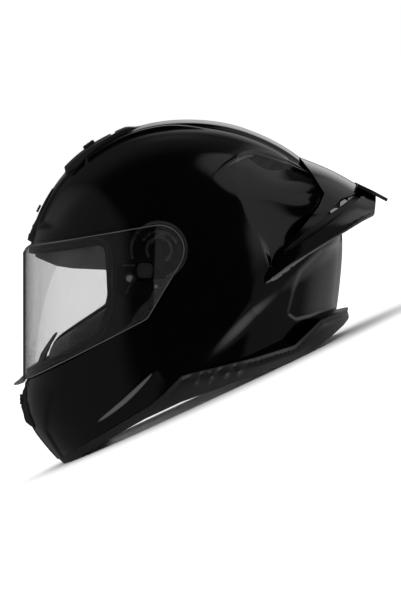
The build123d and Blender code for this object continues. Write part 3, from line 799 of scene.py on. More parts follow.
def clear_visor():
    """Hard polycarbonate that lets lamps through to what is behind it."""
    mat = material("clear_visor", (0.78, 0.78, 0.785), 0.0, IOR=1.5, Transmission_Weight=1.0)
    shader, output = principled(mat), mat.node_tree.nodes["Material Output"]
    haze = noise(mat, coordinates(mat), 18.0, 3.0)
    wire(mat, remap(mat, haze, "Fac", 0.0, 0.012), "Result", shader, "Roughness")
    path = node(mat, "ShaderNodeLightPath")
    open_air = node(mat, "ShaderNodeBsdfTransparent")
    open_air.inputs["Color"].default_value = (0.8, 0.8, 0.81, 1)
    mix = node(mat, "ShaderNodeMixShader")
    wire(mat, path, "Is Shadow Ray", mix, 0)
    wire(mat, shader, 0, mix, 1)
    wire(mat, open_air, 0, mix, 2)
    wire(mat, mix, 0, output, "Surface")
    return mat


PAINT = gloss_paint()
SATIN = moulded_plastic("satin_plastic", (0.009, 0.009, 0.0095), 0.3, 0.46)
RUBBER = moulded_plastic("soft_rubber", (0.014, 0.014, 0.015), 0.6, 0.8, 900.0, 0.00006)
PLATE = moulded_plastic("plate_plastic", (0.0022, 0.0022, 0.0024), 0.34, 0.5)
principled(PLATE).inputs["Specular IOR Level"].default_value = 0.12
LIP_BLACK = moulded_plastic("lip_plastic", (0.006, 0.006, 0.006), 0.35, 0.5)
FABRIC = knit("liner_knit", (0.03, 0.03, 0.032))
CHEEK_FABRIC = knit("cheek_knit", (0.055, 0.055, 0.058), 0.0016, 0.0004)
BROW_LINING = moulded_plastic("brow_lining", (0.1, 0.1, 0.105), 0.6, 0.8, 900.0, 0.00006)
WEB = webbing()
FOAM = beaded_foam("beaded_foam", (0.016, 0.016, 0.018))
STEEL = steel()
CLEAR = clear_visor()
# Opaque lighter grey for the visor's edge band: a painted highlight standing in for the light its
# polished edge catches.
EDGE_HIGHLIGHT_GREY = moulded_plastic("visor_edge_painted_highlight", (0.09, 0.09, 0.095), 0.1, 0.2)
SMOKE = moulded_plastic("visor_tab_plastic", (0.09, 0.09, 0.1), 0.12, 0.24)
# The lever's own plastic; on the pivot's raised arcs it is also a painted highlight.
LEVER_AND_TRACK_HIGHLIGHT = moulded_plastic("lever_plastic", (0.02, 0.02, 0.021), 0.22, 0.34)
THREAD = knit("stitch_thread", (0.07, 0.07, 0.075), 0.0006, 0.0001)

# ---------------------------------------------------------------- outer shell
SIDE_POCKET = rounded([(-39, -43), (-5, -43), (-5, -11), (-39, -11)], [8, 8, 8, 8])
BELOW_SEAM = [(-200, -222.5)] + RIM_SEAM + [(260, -53), (260, -320), (-200, -320)]
EYEPORT_ROUND = rounded(EYEPORT, [0, 9, 22, 20, 0])


def recess_ring(outline, inset):
    """What a side view outline takes away down to a barrel."""
    return carve(cutter("ring", outline), [difference(barrel(inset, -220.0, 120.0))])


shell_mesh = shell_form.solid("shell", 600, 300, push=shell_push, spread=shell_flare)
core = shell_form.solid("core", 120, 60, inset=11.0)
shell_mesh = carve(shell_mesh, [
    difference(cutter("below", BELOW_SEAM)),
    difference(core),
    difference(cutter("eyeport", EYEPORT_ROUND)),
    difference(recess_ring(visor_outline(2.0), 3.6)),
    difference(carve(cutter("chamfer", visor_outline(2.9)),
                     [difference(shell_form.solid("skin", 300, 140, inset=0.7))])),
    difference(recess_ring(circle(0, 0, 27.5), 6.3)),
    difference(recess_ring(SIDE_POCKET, 6.3)),
])
link("shell_paint", shell_mesh, PAINT, replaces=["outer_shell"], sharp=50)

# ---------------------------------------------------------------- rim trim
ABOVE_SEAM = [(-200, 160), (-200, -222.5)] + RIM_SEAM + [(260, -53), (260, 160)]
BELOW_EDGE = [(-200, -224.0)] + RIM_EDGE + [(260, -55), (260, -330), (-200, -330)]
RIB_LINES = [((33.0, -124.0), (38.5, -113.0)), ((45.0, -122.5), (52.5, -109.5)),
             ((60.0, -118.5), (66.0, -107.5)), ((72.0, -115.0), (78.5, -105.0))]


def rim_push(p):
    """The trim's groove under its seam and its plain raised ribs."""
    y, z = p[..., 1], p[..., 2]
    push = np.full(y.shape, 0.5)
    d = beside(y, z, RIM_SEAM)[0]
    push -= 1.5 * np.exp(-((d - 3.6) / 1.1) ** 2) * smooth(y, 0, 30)
    for a, b in RIB_LINES:
        d, along, length = beside(y, z, (a, b))
        ends = smooth(along, 0.2, 1.6) * (1 - smooth(along, length - 1.6, length - 0.2))
        push += 0.9 * (1 - smooth(np.abs(d), 1.0, 2.0)) * ends
    return push


trim_mesh = rim_form.solid("trim", 600, 200, push=rim_push)
trim_mesh = carve(trim_mesh, [
    difference(cutter("above", ABOVE_SEAM)),
    difference(cutter("below", BELOW_EDGE)),
    difference(shell_form.solid("inner", 140, 70, inset=7.0)),
])
# It stands on the two flats that the CAD rim has.
GROUND_X, GROUND_Y, GROUND_DEEP = 0.3, 0.4, 0.05
ground = [(sx * GROUND_X, sy * GROUND_Y, z) for z in (-GROUND_DEEP, 0.0) for sx, sy in CORNERS]
trim_mesh = carve(trim_mesh, [difference(closed("floor_cut", ground, BOX_FACES, False))])
link("rim_trim", trim_mesh, SATIN, replaces=["lower_edge_trim"])

# ---------------------------------------------------------------- spoiler
WING_CREASE = [(125.0, 82.0), (144.3, 66.0), (170.0, 46.5), (182.0, 47.0)]
FIN_UNDER = [(91.0, -36.0), (120.0, -15.5), (148.0, 2.0), (172.0, 17.0), (190.0, 28.0),
             (208.0, 38.0)]
SLOT_SIDES = ((-200, -44), (44, 200))
FRONT_FACET = [(96.0, -40.0), (113.0, -22.0), (124.0, -6.0), (128.0, 2.0)]


def spoiler_push(p):
    """Facets of the spoiler: the wing's upper edge, the fin's undercut and its dark front."""
    x, y, z = np.abs(p[..., 0]), p[..., 1], p[..., 2]
    out = smooth(x, 40, 64)
    d, along, _ = beside(y, z, WING_CREASE)
    push = -1.6 * out * smooth(d, 0.0, 14.0) * smooth(along, 4, 24)
    push -= 4.0 * out * smooth(beside(y, z, FIN_UNDER)[0], 0.0, 6.0)
    d = beside(y, z, FRONT_FACET)[0]
    push -= 3.5 * out * smooth(-d, 0.0, 14.0) * (1 - smooth(z, -2.0, 14.0))
    return push


spoiler_mesh = spoiler_form.solid("spoiler", 460, 190, push=spoiler_push)
slots_cut = [carve(cutter("slot", SPOILER_SLOT, *side),
                   [difference(spoiler_form.solid("floor", inset=9.0))]) for side in SLOT_SIDES]
spoiler_mesh = carve(spoiler_mesh, [
    intersection(cutter("keep", SPOILER_SIDE)),
    *map(difference, slots_cut),
    difference(shell_form.solid("shell_core", inset=4.0)),
    difference(cutter("tail", [(206.5, 70), (240, 70), (240, 18), (201.0, 28.0)])),
])
link("spoiler_paint", spoiler_mesh, PAINT, replaces=["rear_spoiler"], sharp=40)

LIP_PLAN = rounded([(-48, 180), (48, 180), (48, 200), (40, 216), (-40, 216), (-48, 200)],
                   [0, 0, 5, 5, 5, 5])
LIP_SIDE = [(186.5, 60.4), (200.0, 54.0), (214.6, 46.2), (214.2, 44.6), (213.4, 43.4),
            (198.0, 51.4), (186.0, 57.2)]
LIP_GROOVE, LIP_GROOVES = [(188.5, 61.4), (190.1, 60.7), (189.7, 59.2), (188.1, 59.9)], 7
lip_mesh = carve(cutter("lip", LIP_SIDE, -66, 66), [
    intersection(upright_prism("lip_plan", LIP_PLAN, 30, 70)),
    *(difference(cutter("groove", [(y + 3.4 * k, z - 1.5 * k) for y, z in LIP_GROOVE], -58, 58))
      for k in range(LIP_GROOVES)),
])
link("spoiler_lip_strip", lip_mesh, LIP_BLACK, replaces=["spoiler_lip"])

# ---------------------------------------------------------------- exhaust
VANES = [[(160.0, 33.5), (167.0, 38.0), (163.5, 38.3), (159.0, 35.6)],
         [(168.5, 39.5), (176.0, 44.4), (173.0, 46.6), (169.0, 43.5)],
         [(176.5, 44.8), (182.0, 48.6), (181.0, 51.2), (176.2, 49.4)]]


def in_slot(name, outline, face, back, **grid):
    """Left-hand prism of a side view between two depths under the spoiler's skin."""
    return carve(cutter(name, outline, 44.5, 140.0), [
        intersection(spoiler_form.solid("face", inset=face, **grid)),
        difference(spoiler_form.solid("back", inset=back, **grid))])


slot_grown = [(y + (1.5 if i < 4 else -1.5), z + (-1.5 if i < 4 else 1.5))
              for i, (y, z) in enumerate(SPOILER_SLOT)]
pair("exhaust_mesh", in_slot("exhaust", slot_grown, 5.6, 8.4, turns=240, rows=110), LIP_BLACK,
     replaces=["exhaust_grille"])
vanes = [in_slot("vane", outline, 2.0, 6.5) for outline in VANES]
pair("exhaust_vane", carve(vanes[0], [("UNION", vane) for vane in vanes[1:]]), STEEL)

# ---------------------------------------------------------------- visor
VISOR_NOSE = [(-170.0, -9.0), (-128.0, -7.0), (-124.5, -1.0), (-118.0, 3.0)]
GLASS_NOSE = [(-170.0, -9.0), (-127.6, -7.0), (-124.0, -1.0), (-118.0, 3.0)]
VISOR_EDGE, VISOR_WALL = 0.6, 2.05
visor_side = VISOR_NOSE + visor_outline()[1:]
glass_side = [(y, z - VISOR_EDGE) for y, z in GLASS_NOSE] + visor_outline(-VISOR_EDGE)[1:]
visor_wall = carve(barrel(0.0), [difference(barrel(VISOR_WALL, -160.0, 70.0))])
glass = carve(visor_wall.copy(), [intersection(cutter("glass", glass_side))])
link("visor_clear", glass, CLEAR, body="visor", replaces=["visor_shield"])
# The outline's rim is cut off the clear glass as an opaque grey band, a painted highlight along the
# visor's edge.
edge = carve(visor_wall, [intersection(cutter("outline", visor_side)),
                          difference(cutter("glass", glass_side))])
link("visor_edge", edge, EDGE_HIGHLIGHT_GREY, body="visor")

TAB_SIDE = [(-122.5, -117.5), (-125.6, -119.6), (-130.5, -124.6), (-135.4, -128.3),
            (-135.2, -129.6), (-131.0, -129.0), (-126.2, -127.0), (-122.5, -123.0)]
TAB_PLAN = rounded([(-15, -100), (15, -100), (15, -127), (8.5, -136), (-8.5, -136), (-15, -127)],
                   [0, 0, 2, 4, 4, 2])
tab_mesh = carve(cutter("visor_tab", TAB_SIDE, -16, 16), [
    intersection(upright_prism("tab_plan", TAB_PLAN, -140, -110)), difference(barrel(2.3))])
link("visor_tab", tab_mesh, SMOKE, body="visor")

# ---------------------------------------------------------------- eyeport gasket
UPPER_EDGE, LOWER_EDGE = EYEPORT[1::-1], EYEPORT[3:]
EYEPORT_MIDDLE, TURN_Y = (0, -85.0, -42.0), -92.0


def line_z(y, line):
    """Height at y of the straight line through two side view points."""
    (y0, z0), (y1, z1) = line
    return z0 + (y - y0) * (z1 - z0) / (y1 - y0)


def barrel_out(x, y, inset):
    """Outward directions of the visor's barrel."""
    reach = np.where(y < 0, VISOR_FRONT - inset, VISOR_TAIL - inset)
    n = VISOR_FULLNESS
    gx = np.sign(x) * np.abs(x / (VISOR_HALF_WIDTH - inset)) ** (n - 1) / (VISOR_HALF_WIDTH - inset)
    gy = np.sign(y) * np.abs(y / reach) ** (n - 1) / reach
    return unit(np.stack([gx, gy, np.zeros_like(gx)], -1))


def eyeport_loop(inset, proud):
    """Closed line round the eyeport: points, directions out of the opening and off the surface."""
    front = VISOR_FRONT - inset
    x = np.linspace(0, float(barrel_x(TURN_Y, inset)), 34)
    y = -front * (1 - (x / (VISOR_HALF_WIDTH - inset)) ** VISOR_FULLNESS) ** (1 / VISOR_FULLNESS)
    back = [p for p in EYEPORT_ROUND if p[0] > TURN_Y]
    start, end = ((TURN_Y, line_z(TURN_Y, edge)) for edge in (UPPER_EDGE, LOWER_EDGE))
    back = resample([start] + back + [end], 2.6)
    back = np.column_stack([barrel_x(back[:, 0], inset), back])
    top, low = (np.column_stack([x, y, line_z(y, edge)]) for edge in (UPPER_EDGE, LOWER_EDGE))
    left = np.concatenate([top[:-1], back, low[-2::-1]])
    right = left[-2:0:-1] * (-1, 1, 1)
    path = np.concatenate([left, right])
    away = barrel_out(path[:, 0], path[:, 1], inset)
    over = shell_form.level(path) / (1 + proud / 121.0)
    path = path / np.maximum(over, 1.0)[:, None]
    for _ in range(3):
        path = (np.roll(path, 1, 0) + 2 * path + np.roll(path, -1, 0)) / 4
    along = unit(np.roll(path, -1, 0) - np.roll(path, 1, 0))
    across = unit(np.cross(along, away))
    outward = np.sum(across * (path - np.array(EYEPORT_MIDDLE)), 1)
    return path, across * np.sign(outward)[:, None], away


gasket_path, gasket_across, gasket_away = eyeport_loop(2.9, 0.7)
GASKET_SECTION = [(-1.7, -11.0), (-2.1, -6.0), (-1.8, -2.4), (-1.1, -0.5), (0.2, 0.0), (1.4, -0.5),
                  (2.2, -0.9), (3.2, -0.5), (4.4, -0.15), (5.3, -0.5), (5.7, -1.3), (0.3, -1.5),
                  (0.3, -11.0)]
gasket_mesh = sweep("gasket", gasket_path, gasket_across, gasket_away, GASKET_SECTION, loop=True)
link("eyeport_seal", gasket_mesh, RUBBER, replaces=["eyeport_gasket"], sharp=50)


def brow_trim():
    """Thin moulded trim that hangs inside the eyeport's upper edge, arched towards the sides."""
    inset, n = 9.0, VISOR_FULLNESS
    start = math.asin((40.0 / (VISOR_FRONT - inset)) ** (n / 2))
    t = np.linspace(start, math.pi - start, 121)
    x = (VISOR_HALF_WIDTH - inset) * np.sign(np.cos(t)) * np.abs(np.cos(t)) ** (2 / n)
    y = -(VISOR_FRONT - inset) * np.sin(t) ** (2 / n)
    low = np.interp(-y, [40.0, 48.0, 80.4, 95.0, 117.9], [-18.8, -18.8, -17.9, -16.0, -8.5])
    high = line_z(y, UPPER_EDGE) + 2.0
    away = barrel_out(x, y, inset)
    sides = []
    for depth, thinner in ((0.0, 1.2), (4.0, -1.2)):
        rows = []
        for k in range(9):
            p = np.column_stack([x, y, high + (low - high) * k / 8])
            p = p - away * (depth + thinner * (k == 8))
            rows.append(p / np.maximum(shell_form.level(p) / 0.95, 1.0)[:, None])
        sides.append(np.array(rows))
    return between("brow_trim", *sides)


link("brow_trim", brow_trim(), BROW_LINING, sharp=50)

# ---------------------------------------------------------------- visor mechanism
POCKET_LOBE = rounded([(-38.7, -42.7), (-5.3, -42.7), (-5.3, -11.3), (-38.7, -11.3)], [7.7] * 4)
LEVER_ROOM = rounded([(-20.85, -30.35), (-5.15, -30.35), (-5.15, -11.65), (-20.85, -11.65)],
                     [2] * 4)
SCREW_AT, SCREW_ROOM, PIN_ROOM = (-27, -26.5), 3.3, 5.2
INSIDE, OUTSIDE = 110.0, 140.0


def arc_band(y, z, r0, r1, start, end):
    """Side view of part of a ring, from one angle to another in degrees."""
    t = np.radians(np.linspace(start, end, 24))
    outer = [(y + r1 * math.cos(a), z + r1 * math.sin(a)) for a in t]
    return outer + [(y + r0 * math.cos(a), z + r0 * math.sin(a)) for a in t[::-1]]


def on_barrel(name, outline, inset, low):
    """Left-hand prism of a side view whose face follows the visor's barrel."""
    return carve(cutter(name, outline, low, OUTSIDE), [intersection(barrel(inset, -120.0, 60.0))])


RAISED = [
    (arc_band(0, 0, 24.4, 27.0, -75, 200), 3.9), (arc_band(0, 0, 10.4, 12.6, -60, 215), 3.95),
    (arc_band(0, 0, 16.0, 18.2, 20, 150), 4.0), (arc_band(2.0, 6.0, 6.8, 9.6, 60, 185), 3.8),
    ([(-33.5, -13.5), (-22.0, -13.5), (-22.0, -15.2), (-33.5, -15.2)], 4.0),
    ([(-31.5, -40.6), (-23.8, -24.0), (-22.2, -24.8), (-29.8, -41.4)], 3.9),
]
plate_mesh = carve(on_barrel("plate", circle(0, 0, 27.2, 72), 4.6, 116.2), [
    ("UNION", on_barrel("lobe", POCKET_LOBE, 4.66, 116.5)),
    difference(cutter("lever_room", LEVER_ROOM, INSIDE, OUTSIDE)),
    difference(cutter("pin_room", circle(0, 0, PIN_ROOM, 40), INSIDE, OUTSIDE)),
    difference(cutter("screw_room", circle(*SCREW_AT, SCREW_ROOM, 40), 118.0, OUTSIDE)),
])
boss = carve(on_barrel("boss", circle(*SCREW_AT, 5.0, 32), 4.3, 118.4),
             [difference(cutter("screw_room", circle(*SCREW_AT, SCREW_ROOM, 40), INSIDE, OUTSIDE))])
raised = [on_barrel("raised", outline, inset, 118.4) for outline, inset in RAISED]
# The boss and the raised arcs take the lighter lever plastic: a painted highlight for the light
# their edges catch.
pair("pivot_track", joined([boss] + raised), LEVER_AND_TRACK_HIGHLIGHT)
pair("pivot_plate", plate_mesh, PLATE, replaces=["base_plate"])

LEVER_SIDE = rounded([(-20.0, -24.4), (-16.0, -26.0), (-6.6, -26.0), (-5.9, -22.0), (-5.9, -14.0),
                      (-9.0, -12.2), (-18.0, -12.2), (-20.3, -16.0)],
                     [2, 2, 1.5, 3, 3, 2, 3, 2], 5)
LEVER_MIDDLE = (-13.1, -19.1)


def pressed_in(name, outline, inset):
    """Cutter of a side view that reaches down to a depth under the visor's barrel."""
    return difference(carve(cutter(name, outline, INSIDE, OUTSIDE),
                            [difference(barrel(inset, -90.0, 60.0))]))


lever_dish = [(LEVER_MIDDLE[0] + (y - LEVER_MIDDLE[0]) * 0.74,
               LEVER_MIDDLE[1] + (z - LEVER_MIDDLE[1]) * 0.7) for y, z in LEVER_SIDE]
lever_mesh = carve(on_barrel("lever", LEVER_SIDE, 3.3, 115.6), [
    pressed_in("dish", lever_dish, 4.0),
    *(pressed_in("groove", [(-17.5, z), (-8.8, z), (-8.8, z + 1.1), (-17.5, z + 1.1)], 4.6)
      for z in (-23.5, -21.3, -19.1, -16.9)),
])
pair("lever", lever_mesh, LEVER_AND_TRACK_HIGHLIGHT, body="release_lever", replaces=["release_lever"])

# ---------------------------------------------------------------- crown, brow and chin vents
# Places (y, z) on the middle line and leans in degrees of the three sliders' rails.
CROWN_RAIL, BROW_RAIL, CHIN_RAIL = (-65.2, 96.5, 54.5), (-112.8, 36.6, 26.0), (-128.8, -143.0, 0.0)


def crown_height(angle, x):
    w = np.abs(x)
    rise = (1 - smooth(angle, 139.2, 141.2)) * smooth(angle, 99.0, 106.0)
    height = (3.4 + 0.5 * smooth(angle, 112.0, 125.0)) * rise * (1 - smooth(w, 24.0, 31.0))
    height -= 1.3 * np.exp(-((w - 14.5) / 1.6) ** 2) * rise * (angle < 137)
    mouth = (1 - smooth(np.abs(angle - 111.6), 0.6, 1.2)) * (1 - smooth(w, 19.0, 21.0))
    return height - 2.6 * mouth * rise + 0.15


crown_angles = np.linspace(98.5, 141.6, 90)
crown_widths = np.interp(crown_angles, [98.5, 105.0, 120.0, 134.0, 141.6],
                         [14.0, 19.0, 27.0, 31.0, 26.5])
crown_mesh = carve(shell_form.patch("crown", crown_angles, crown_widths, crown_height), [
    difference(tangent_box("rail", *CROWN_RAIL, 18.8, 18.8, -1.2, 20.0, 3.0))])
link("crown_fairing", crown_mesh, SATIN, replaces=["crown_vent_fairing"])
link("crown_slider", grip_slider("crown_slider", *CROWN_RAIL, 18, 12, -1.9, 1.3), SATIN,
     body="crown_vent_slider", replaces=["crown_vent_slider"], sharp=40)


def brow_height(angle, x):
    w = np.abs(x)
    hood = smooth(angle, 166.5, 174.0) * (1 - smooth(angle, 176.6, 177.6))
    side = 1 - smooth(w, 19.0, 23.5)
    slot = (1 - smooth(np.abs(angle - 172.4), 1.0, 1.6)) * (1 - smooth(w, 14.0, 16.0))
    return (0.5 + 2.6 * hood) * side - 2.6 * slot + 0.1


brow_angles = np.linspace(151.0, 177.4, 70)
brow_widths = np.interp(brow_angles, [151.0, 160.0, 177.4], [14.0, 20.0, 24.0])
brow_mesh = carve(shell_form.patch("brow", brow_angles, brow_widths, brow_height), [
    difference(tangent_box("rail", *BROW_RAIL, 16.8, 11.8, -1.3, 20.0, 2.0))])
link("brow_vent", brow_mesh, SATIN, replaces=["brow_vent_housing"])
link("brow_slider", grip_slider("brow_slider", *BROW_RAIL, 16, 7, -1.9, 0.1, 2, 1.6), SATIN,
     body="brow_vent_slider", replaces=["brow_vent_slider"], sharp=40)

CHIN_VENT_PROFILE = [(-104.0, -126.0), (-118.5, -127.0), (-124.4, -129.6), (-127.3, -136.5),
                     (-128.6, -144.0), (-128.6, -149.0), (-126.4, -156.0), (-125.6, -160.0),
                     (-124.2, -163.5), (-119.8, -167.0), (-112.0, -170.5), (-104.0, -170.5)]
CHIN_VENT_PLAN = [(31.0, -100), (31.0, -117), (27.5, -122.5), (20.0, -130.5), (-20.0, -130.5),
                  (-27.5, -122.5), (-31.0, -117), (-31.0, -100)]
CHIN_WINDOW = [(13.0, -151.0), (21.5, -149.5), (24.5, -143.0), (20.0, -135.0), (13.0, -135.0)]
chin_mesh = carve(cutter("chin_vent", CHIN_VENT_PROFILE, -34, 34), [
    intersection(upright_prism("plan", rounded(CHIN_VENT_PLAN, [0, 3, 3, 5, 5, 3, 3, 0], 5),
                               -180, -120)),
    difference(shell_form.solid("inside", inset=2.2)),
])
windows = [rounded([(s * x, z) for x, z in CHIN_WINDOW], [2] * 5, 4) for s in (-1, 1)]
chin_mesh = carve(chin_mesh, [
    *(difference(deep_prism("window", window, -140.0, -100.0)) for window in windows),
    difference(tangent_box("rail", *CHIN_RAIL, 20.8, 14.8, -3.0, 20.0, -2.5)),
])
chin = link("chin_vent", chin_mesh, SATIN, replaces=["chin_vent_housing"])
bevel = chin.modifiers.new("worn_edge", "BEVEL")
bevel.width, bevel.segments, bevel.limit_method, bevel.angle_limit = 0.5 * MM, 2, "ANGLE", 0.6
link("chin_shutter", grip_slider("chin_shutter", *CHIN_RAIL, 20, 9, -2.6, 0.9, 2, 2.0),
     SATIN, body="chin_vent_shutter", replaces=["chin_vent_shutter"], sharp=40)

# ---------------------------------------------------------------- padding
cavity_form = Form(CAVITY_HALF_WIDTH, CAVITY_PROFILE)
cavity_shift = np.array([0.0, *CAVITY_AT])


def cavity_mesh(grow, push=None, turns=150, rows=80):
    p, faces = cavity_form.grid(turns, rows, inset=-grow, push=push)
    return closed("cavity", p + cavity_shift, faces)


def quilt(p):
    """Sewn channels of the crown liner, as depth into the pad."""
    x, y, z = np.abs(p[..., 0]), p[..., 1], p[..., 2]
    angle = np.degrees(np.arctan2(z, y))
    groove = np.exp(-((x - 21.0) / 1.7) ** 2)
    for at in (24.0, 62.0, 100.0, 138.0):
        groove = np.maximum(groove, np.exp(-((angle - at) / 1.5) ** 2) * (x < 62))
    groove = np.maximum(groove, np.exp(-((x - 58.0) / 2.0) ** 2))
    return 3.4 * groove


temples = [cutter("temple", TEMPLE_SIDE, low, high) for low, high in ((-120, -45), (45, 120))]
liner_side = carve(cutter("side", COMFORT_SIDE), [("UNION", temple) for temple in temples])
liner_mesh = carve(cavity_mesh(7.8), [
    intersection(liner_side),
    difference(cavity_mesh(0.6, quilt, 300, 150)),
])
crown_liner = link("crown_liner", liner_mesh, FABRIC, replaces=["crown_comfort_liner"], sharp=60)

STRAP_SLOT = [(0.048, 0.0533), (0.118, 0.0666), (0.118, 0.0731), (0.048, 0.0600)]
CHEEK_SHARE = 0.985
cheek_outline = rounded(CHEEK_SIDE, CHEEK_ROUNDING, 6)
cheek_inner = [(CHEEK_MIDDLE[0] + (y - CHEEK_MIDDLE[0]) * CHEEK_SHARE,
                CHEEK_MIDDLE[1] + (z - CHEEK_MIDDLE[1]) * CHEEK_SHARE) for y, z in cheek_outline]
cheek_mesh = carve(cutter("cheek", cheek_inner, 61.5, 89.0), [
    intersection(shell_form.solid("within", 160, 80, inset=10.0)),
    difference(deep_prism("slot", STRAP_SLOT, -0.0342, -0.0058, False)),
])
cheek_mesh = soften(cheek_mesh, 2.4, 10)


def dome_cheek(p, normal):
    """Dome the pad's face and press its sewn lines in."""
    d = inside(p[:, 1], p[:, 2], cheek_outline)
    face = smooth(-normal[:, 0], 0.3, 0.9)
    p[:, 0] += face * (4.5 * (1 - smooth(d, 2.0, 20.0)) + 2.6 * np.exp(-((d - 24.0) / 1.8) ** 2))
    middle = np.abs(beside(p[:, 1], p[:, 2], [(-40.0, -86.0), (58.0, -56.0)])[0])
    p[:, 0] += face * 2.2 * np.exp(-(middle / 1.8) ** 2) * (d > 24.0)
    p[:, 0] -= face * 2.0 * smooth(d, 26.0, 38.0)
    return p


reshape(cheek_mesh, dome_cheek)
for made in pair("cheek_pad_soft", cheek_mesh, CHEEK_FABRIC, replaces=["cheek_pad"], sharp=None):
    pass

neck_mesh = carve(shell_form.solid("neck", 220, 110, inset=5.2), [
    intersection(cutter("side", [(y, z + (0.8 if z < -60 and i > 3 else -0.8))
                                 for i, (y, z) in enumerate(NECK_SIDE)])),
    difference(cavity_mesh(-1.4)),
    difference(cutter("front", [(-200, -250), (110, -250), (110, 50), (-200, 50)], -60.6, 60.6)),
])
neck_mesh = soften(neck_mesh, 2.0, 6)
neck = link("neck_roll_soft", neck_mesh, CHEEK_FABRIC, replaces=["neck_roll"], sharp=None)

# ---------------------------------------------------------------- chin curtain and deflector
def curtain():
    """Thin cloth across the underside of the chin, hemmed along its free edge."""
    side_line = resample([(-112.5, -207.3), (-52.2, -168.4)], 2.2)
    side_line = side_line[shell_form.x_at(side_line[:, 0], side_line[:, 1], 5.2) > 8.0]
    rows = []
    for k, (y, z) in enumerate(side_line):
        half = min(83.0, float(shell_form.x_at(np.array(y), np.array(z), 5.2)))
        x = np.linspace(-1, 1, 45) * half
        sag = 2.2 * (1 - (x / half) ** 2) * math.sin(math.pi * k / (len(side_line) - 1))
        ripple = 0.35 * np.sin(x / 5.5) * (k / len(side_line)) ** 2
        rows.append(np.column_stack([x, np.full(len(x), y), z + sag * 0.55 + ripple]))
    top = np.array(rows)
    half_thick = np.full(top.shape[:2], 0.45)
    half_thick[-3:] += 0.35
    base = top.copy()
    top[..., 2] += half_thick
    base[..., 2] -= half_thick
    return between("curtain", top, base)


sheet = link("chin_cloth", curtain(), FABRIC, replaces=["chin_curtain"], sharp=60)


def deflector():
    """Thin moulded flap over the nose, notched in the middle and stepped down at its ends."""
    side_line = resample([(-114.8, -119.5), (-113.2, -110.0), (-110.0, -100.0), (-104.2, -90.5),
                          (-97.6, -81.0)], 1.6)
    last, rows, ribs = len(side_line) - 1, [], []
    for x in np.linspace(-36, 36, 61):
        w = abs(x)
        notch, end = math.exp(-(w / 9.0) ** 4), float(smooth(w, 24.0, 35.0))
        t = np.linspace(0, 1.0 - 0.34 * notch - 0.42 * end, last + 1) * last
        y, z = (np.interp(t, np.arange(last + 1), side_line[:, i]) for i in (0, 1))
        rows.append(np.column_stack([np.full(last + 1, x), y + x * x * 0.0035 + 0.4, z]))
        ribs.append(0.7 * (1 - float(smooth(abs(w - 19.0), 0.8, 1.8))))
    front = np.array(rows)
    back = front.copy()
    half_thick = np.linspace(1.25, 0.55, last + 1)[None, :]
    front[..., 1] -= half_thick + np.array(ribs)[:, None]
    back[..., 1] += half_thick
    return between("deflector", front, back)


link("nose_flap", deflector(), RUBBER, replaces=["breath_deflector"], sharp=45)

# ---------------------------------------------------------------- chin strap, row frame
STRAP_MID_Y, STRAP_HALF, STRAP_THICK = -20.0, 12.3, 0.85
STRAP_SECTION = [(u * (STRAP_HALF - worn), v * thick) for v, u, worn, thick in (
    (-1, -1, 0, 0.45), (-1, -1, 0.7, STRAP_THICK), (-1, 1, 0.7, STRAP_THICK), (-1, 1, 0, 0.45),
    (1, 1, 0, 0.45), (1, 1, 0.7, STRAP_THICK), (1, -1, 0.7, STRAP_THICK), (1, -1, 0, 0.45))]


def ribbon(name, xz, radii):
    """Flat woven strap that follows an open (x, z) line with rounded bends."""
    line = []
    for i, here in enumerate(xz):
        if i in (0, len(xz) - 1) or not radii[i]:
            line.append(here)
        else:
            corner = rounded([xz[i - 1], here, xz[i + 1]], [0, radii[i], 0], 8)
            line += corner[1:-1]
    line = resample(line, 1.2)
    tangent = unit(np.gradient(line, axis=0))
    path = np.column_stack([line[:, 0], np.full(len(line), STRAP_MID_Y), line[:, 1]]) * MM
    away = np.column_stack([-tangent[:, 1], np.zeros(len(line)), tangent[:, 0]])
    across = np.tile([0.0, 1.0, 0.0], (len(line), 1))
    return sweep(name, path, across * MM, away * MM, STRAP_SECTION, head_frame=False)


def stitches(name, places):
    """Rows of short raised upright threads: centres in (x, y, z) row millimetres."""
    bm = bmesh.new()
    for place in places:
        spot = Matrix.Translation(Vector(place) * MM)
        bmesh.ops.create_uvsphere(bm, u_segments=8, v_segments=6, radius=MM,
                                  matrix=spot @ Matrix.Diagonal((0.35, 0.35, 1.1, 1)))
    mesh = bpy.data.meshes.new(name)
    bm.to_mesh(mesh)
    bm.free()
    return mesh


LEFT_ROUTE = [(112, 68.4), (60.5, 58.6), (56.6, 55.0), (56.6, 24.7), (44.6, 24.7), (44.6, 31.3),
              (55.0, 31.3)]
RIGHT_ROUTE = [(-112, 68.4), (-60.5, 58.6), (-56.6, 55.0), (-56.6, 8.0), (-50.4, 8.0),
               (-50.4, 62.0)]
link("strap_web_left", ribbon("web_left", LEFT_ROUTE, [0, 4, 3, 3.4, 3.4, 3.0, 0]), WEB,
     replaces=["strap_left"], sharp=60)
link("strap_web_right", ribbon("web_right", RIGHT_ROUTE, [0, 4, 3, 2.6, 2.6, 0]), WEB,
     replaces=["strap_right"], sharp=60)
SEAM_X, SEAM_HALF, SEAM_STEP = 57.6, 10.0, 2.8
left_rows = [(SEAM_X, STRAP_MID_Y + side * SEAM_HALF, z) for side in (-1, 1)
             for z in np.arange(34.0, 52.0, SEAM_STEP)]
left_rows += [(SEAM_X, STRAP_MID_Y + u * SEAM_HALF, 34.0 + 18.0 * t) for t in np.linspace(0, 1, 9)
              for u in (2 * t - 1, 1 - 2 * t)]
right_rows = [(-SEAM_X, STRAP_MID_Y + side * SEAM_HALF, z) for side in (-1, 1)
              for z in np.arange(12.0, 52.0, SEAM_STEP)]
link("strap_stitch_left", stitches("stitch_left", left_rows), THREAD, sharp=60)
link("strap_stitch_right", stitches("stitch_right", right_rows), THREAD, sharp=60)

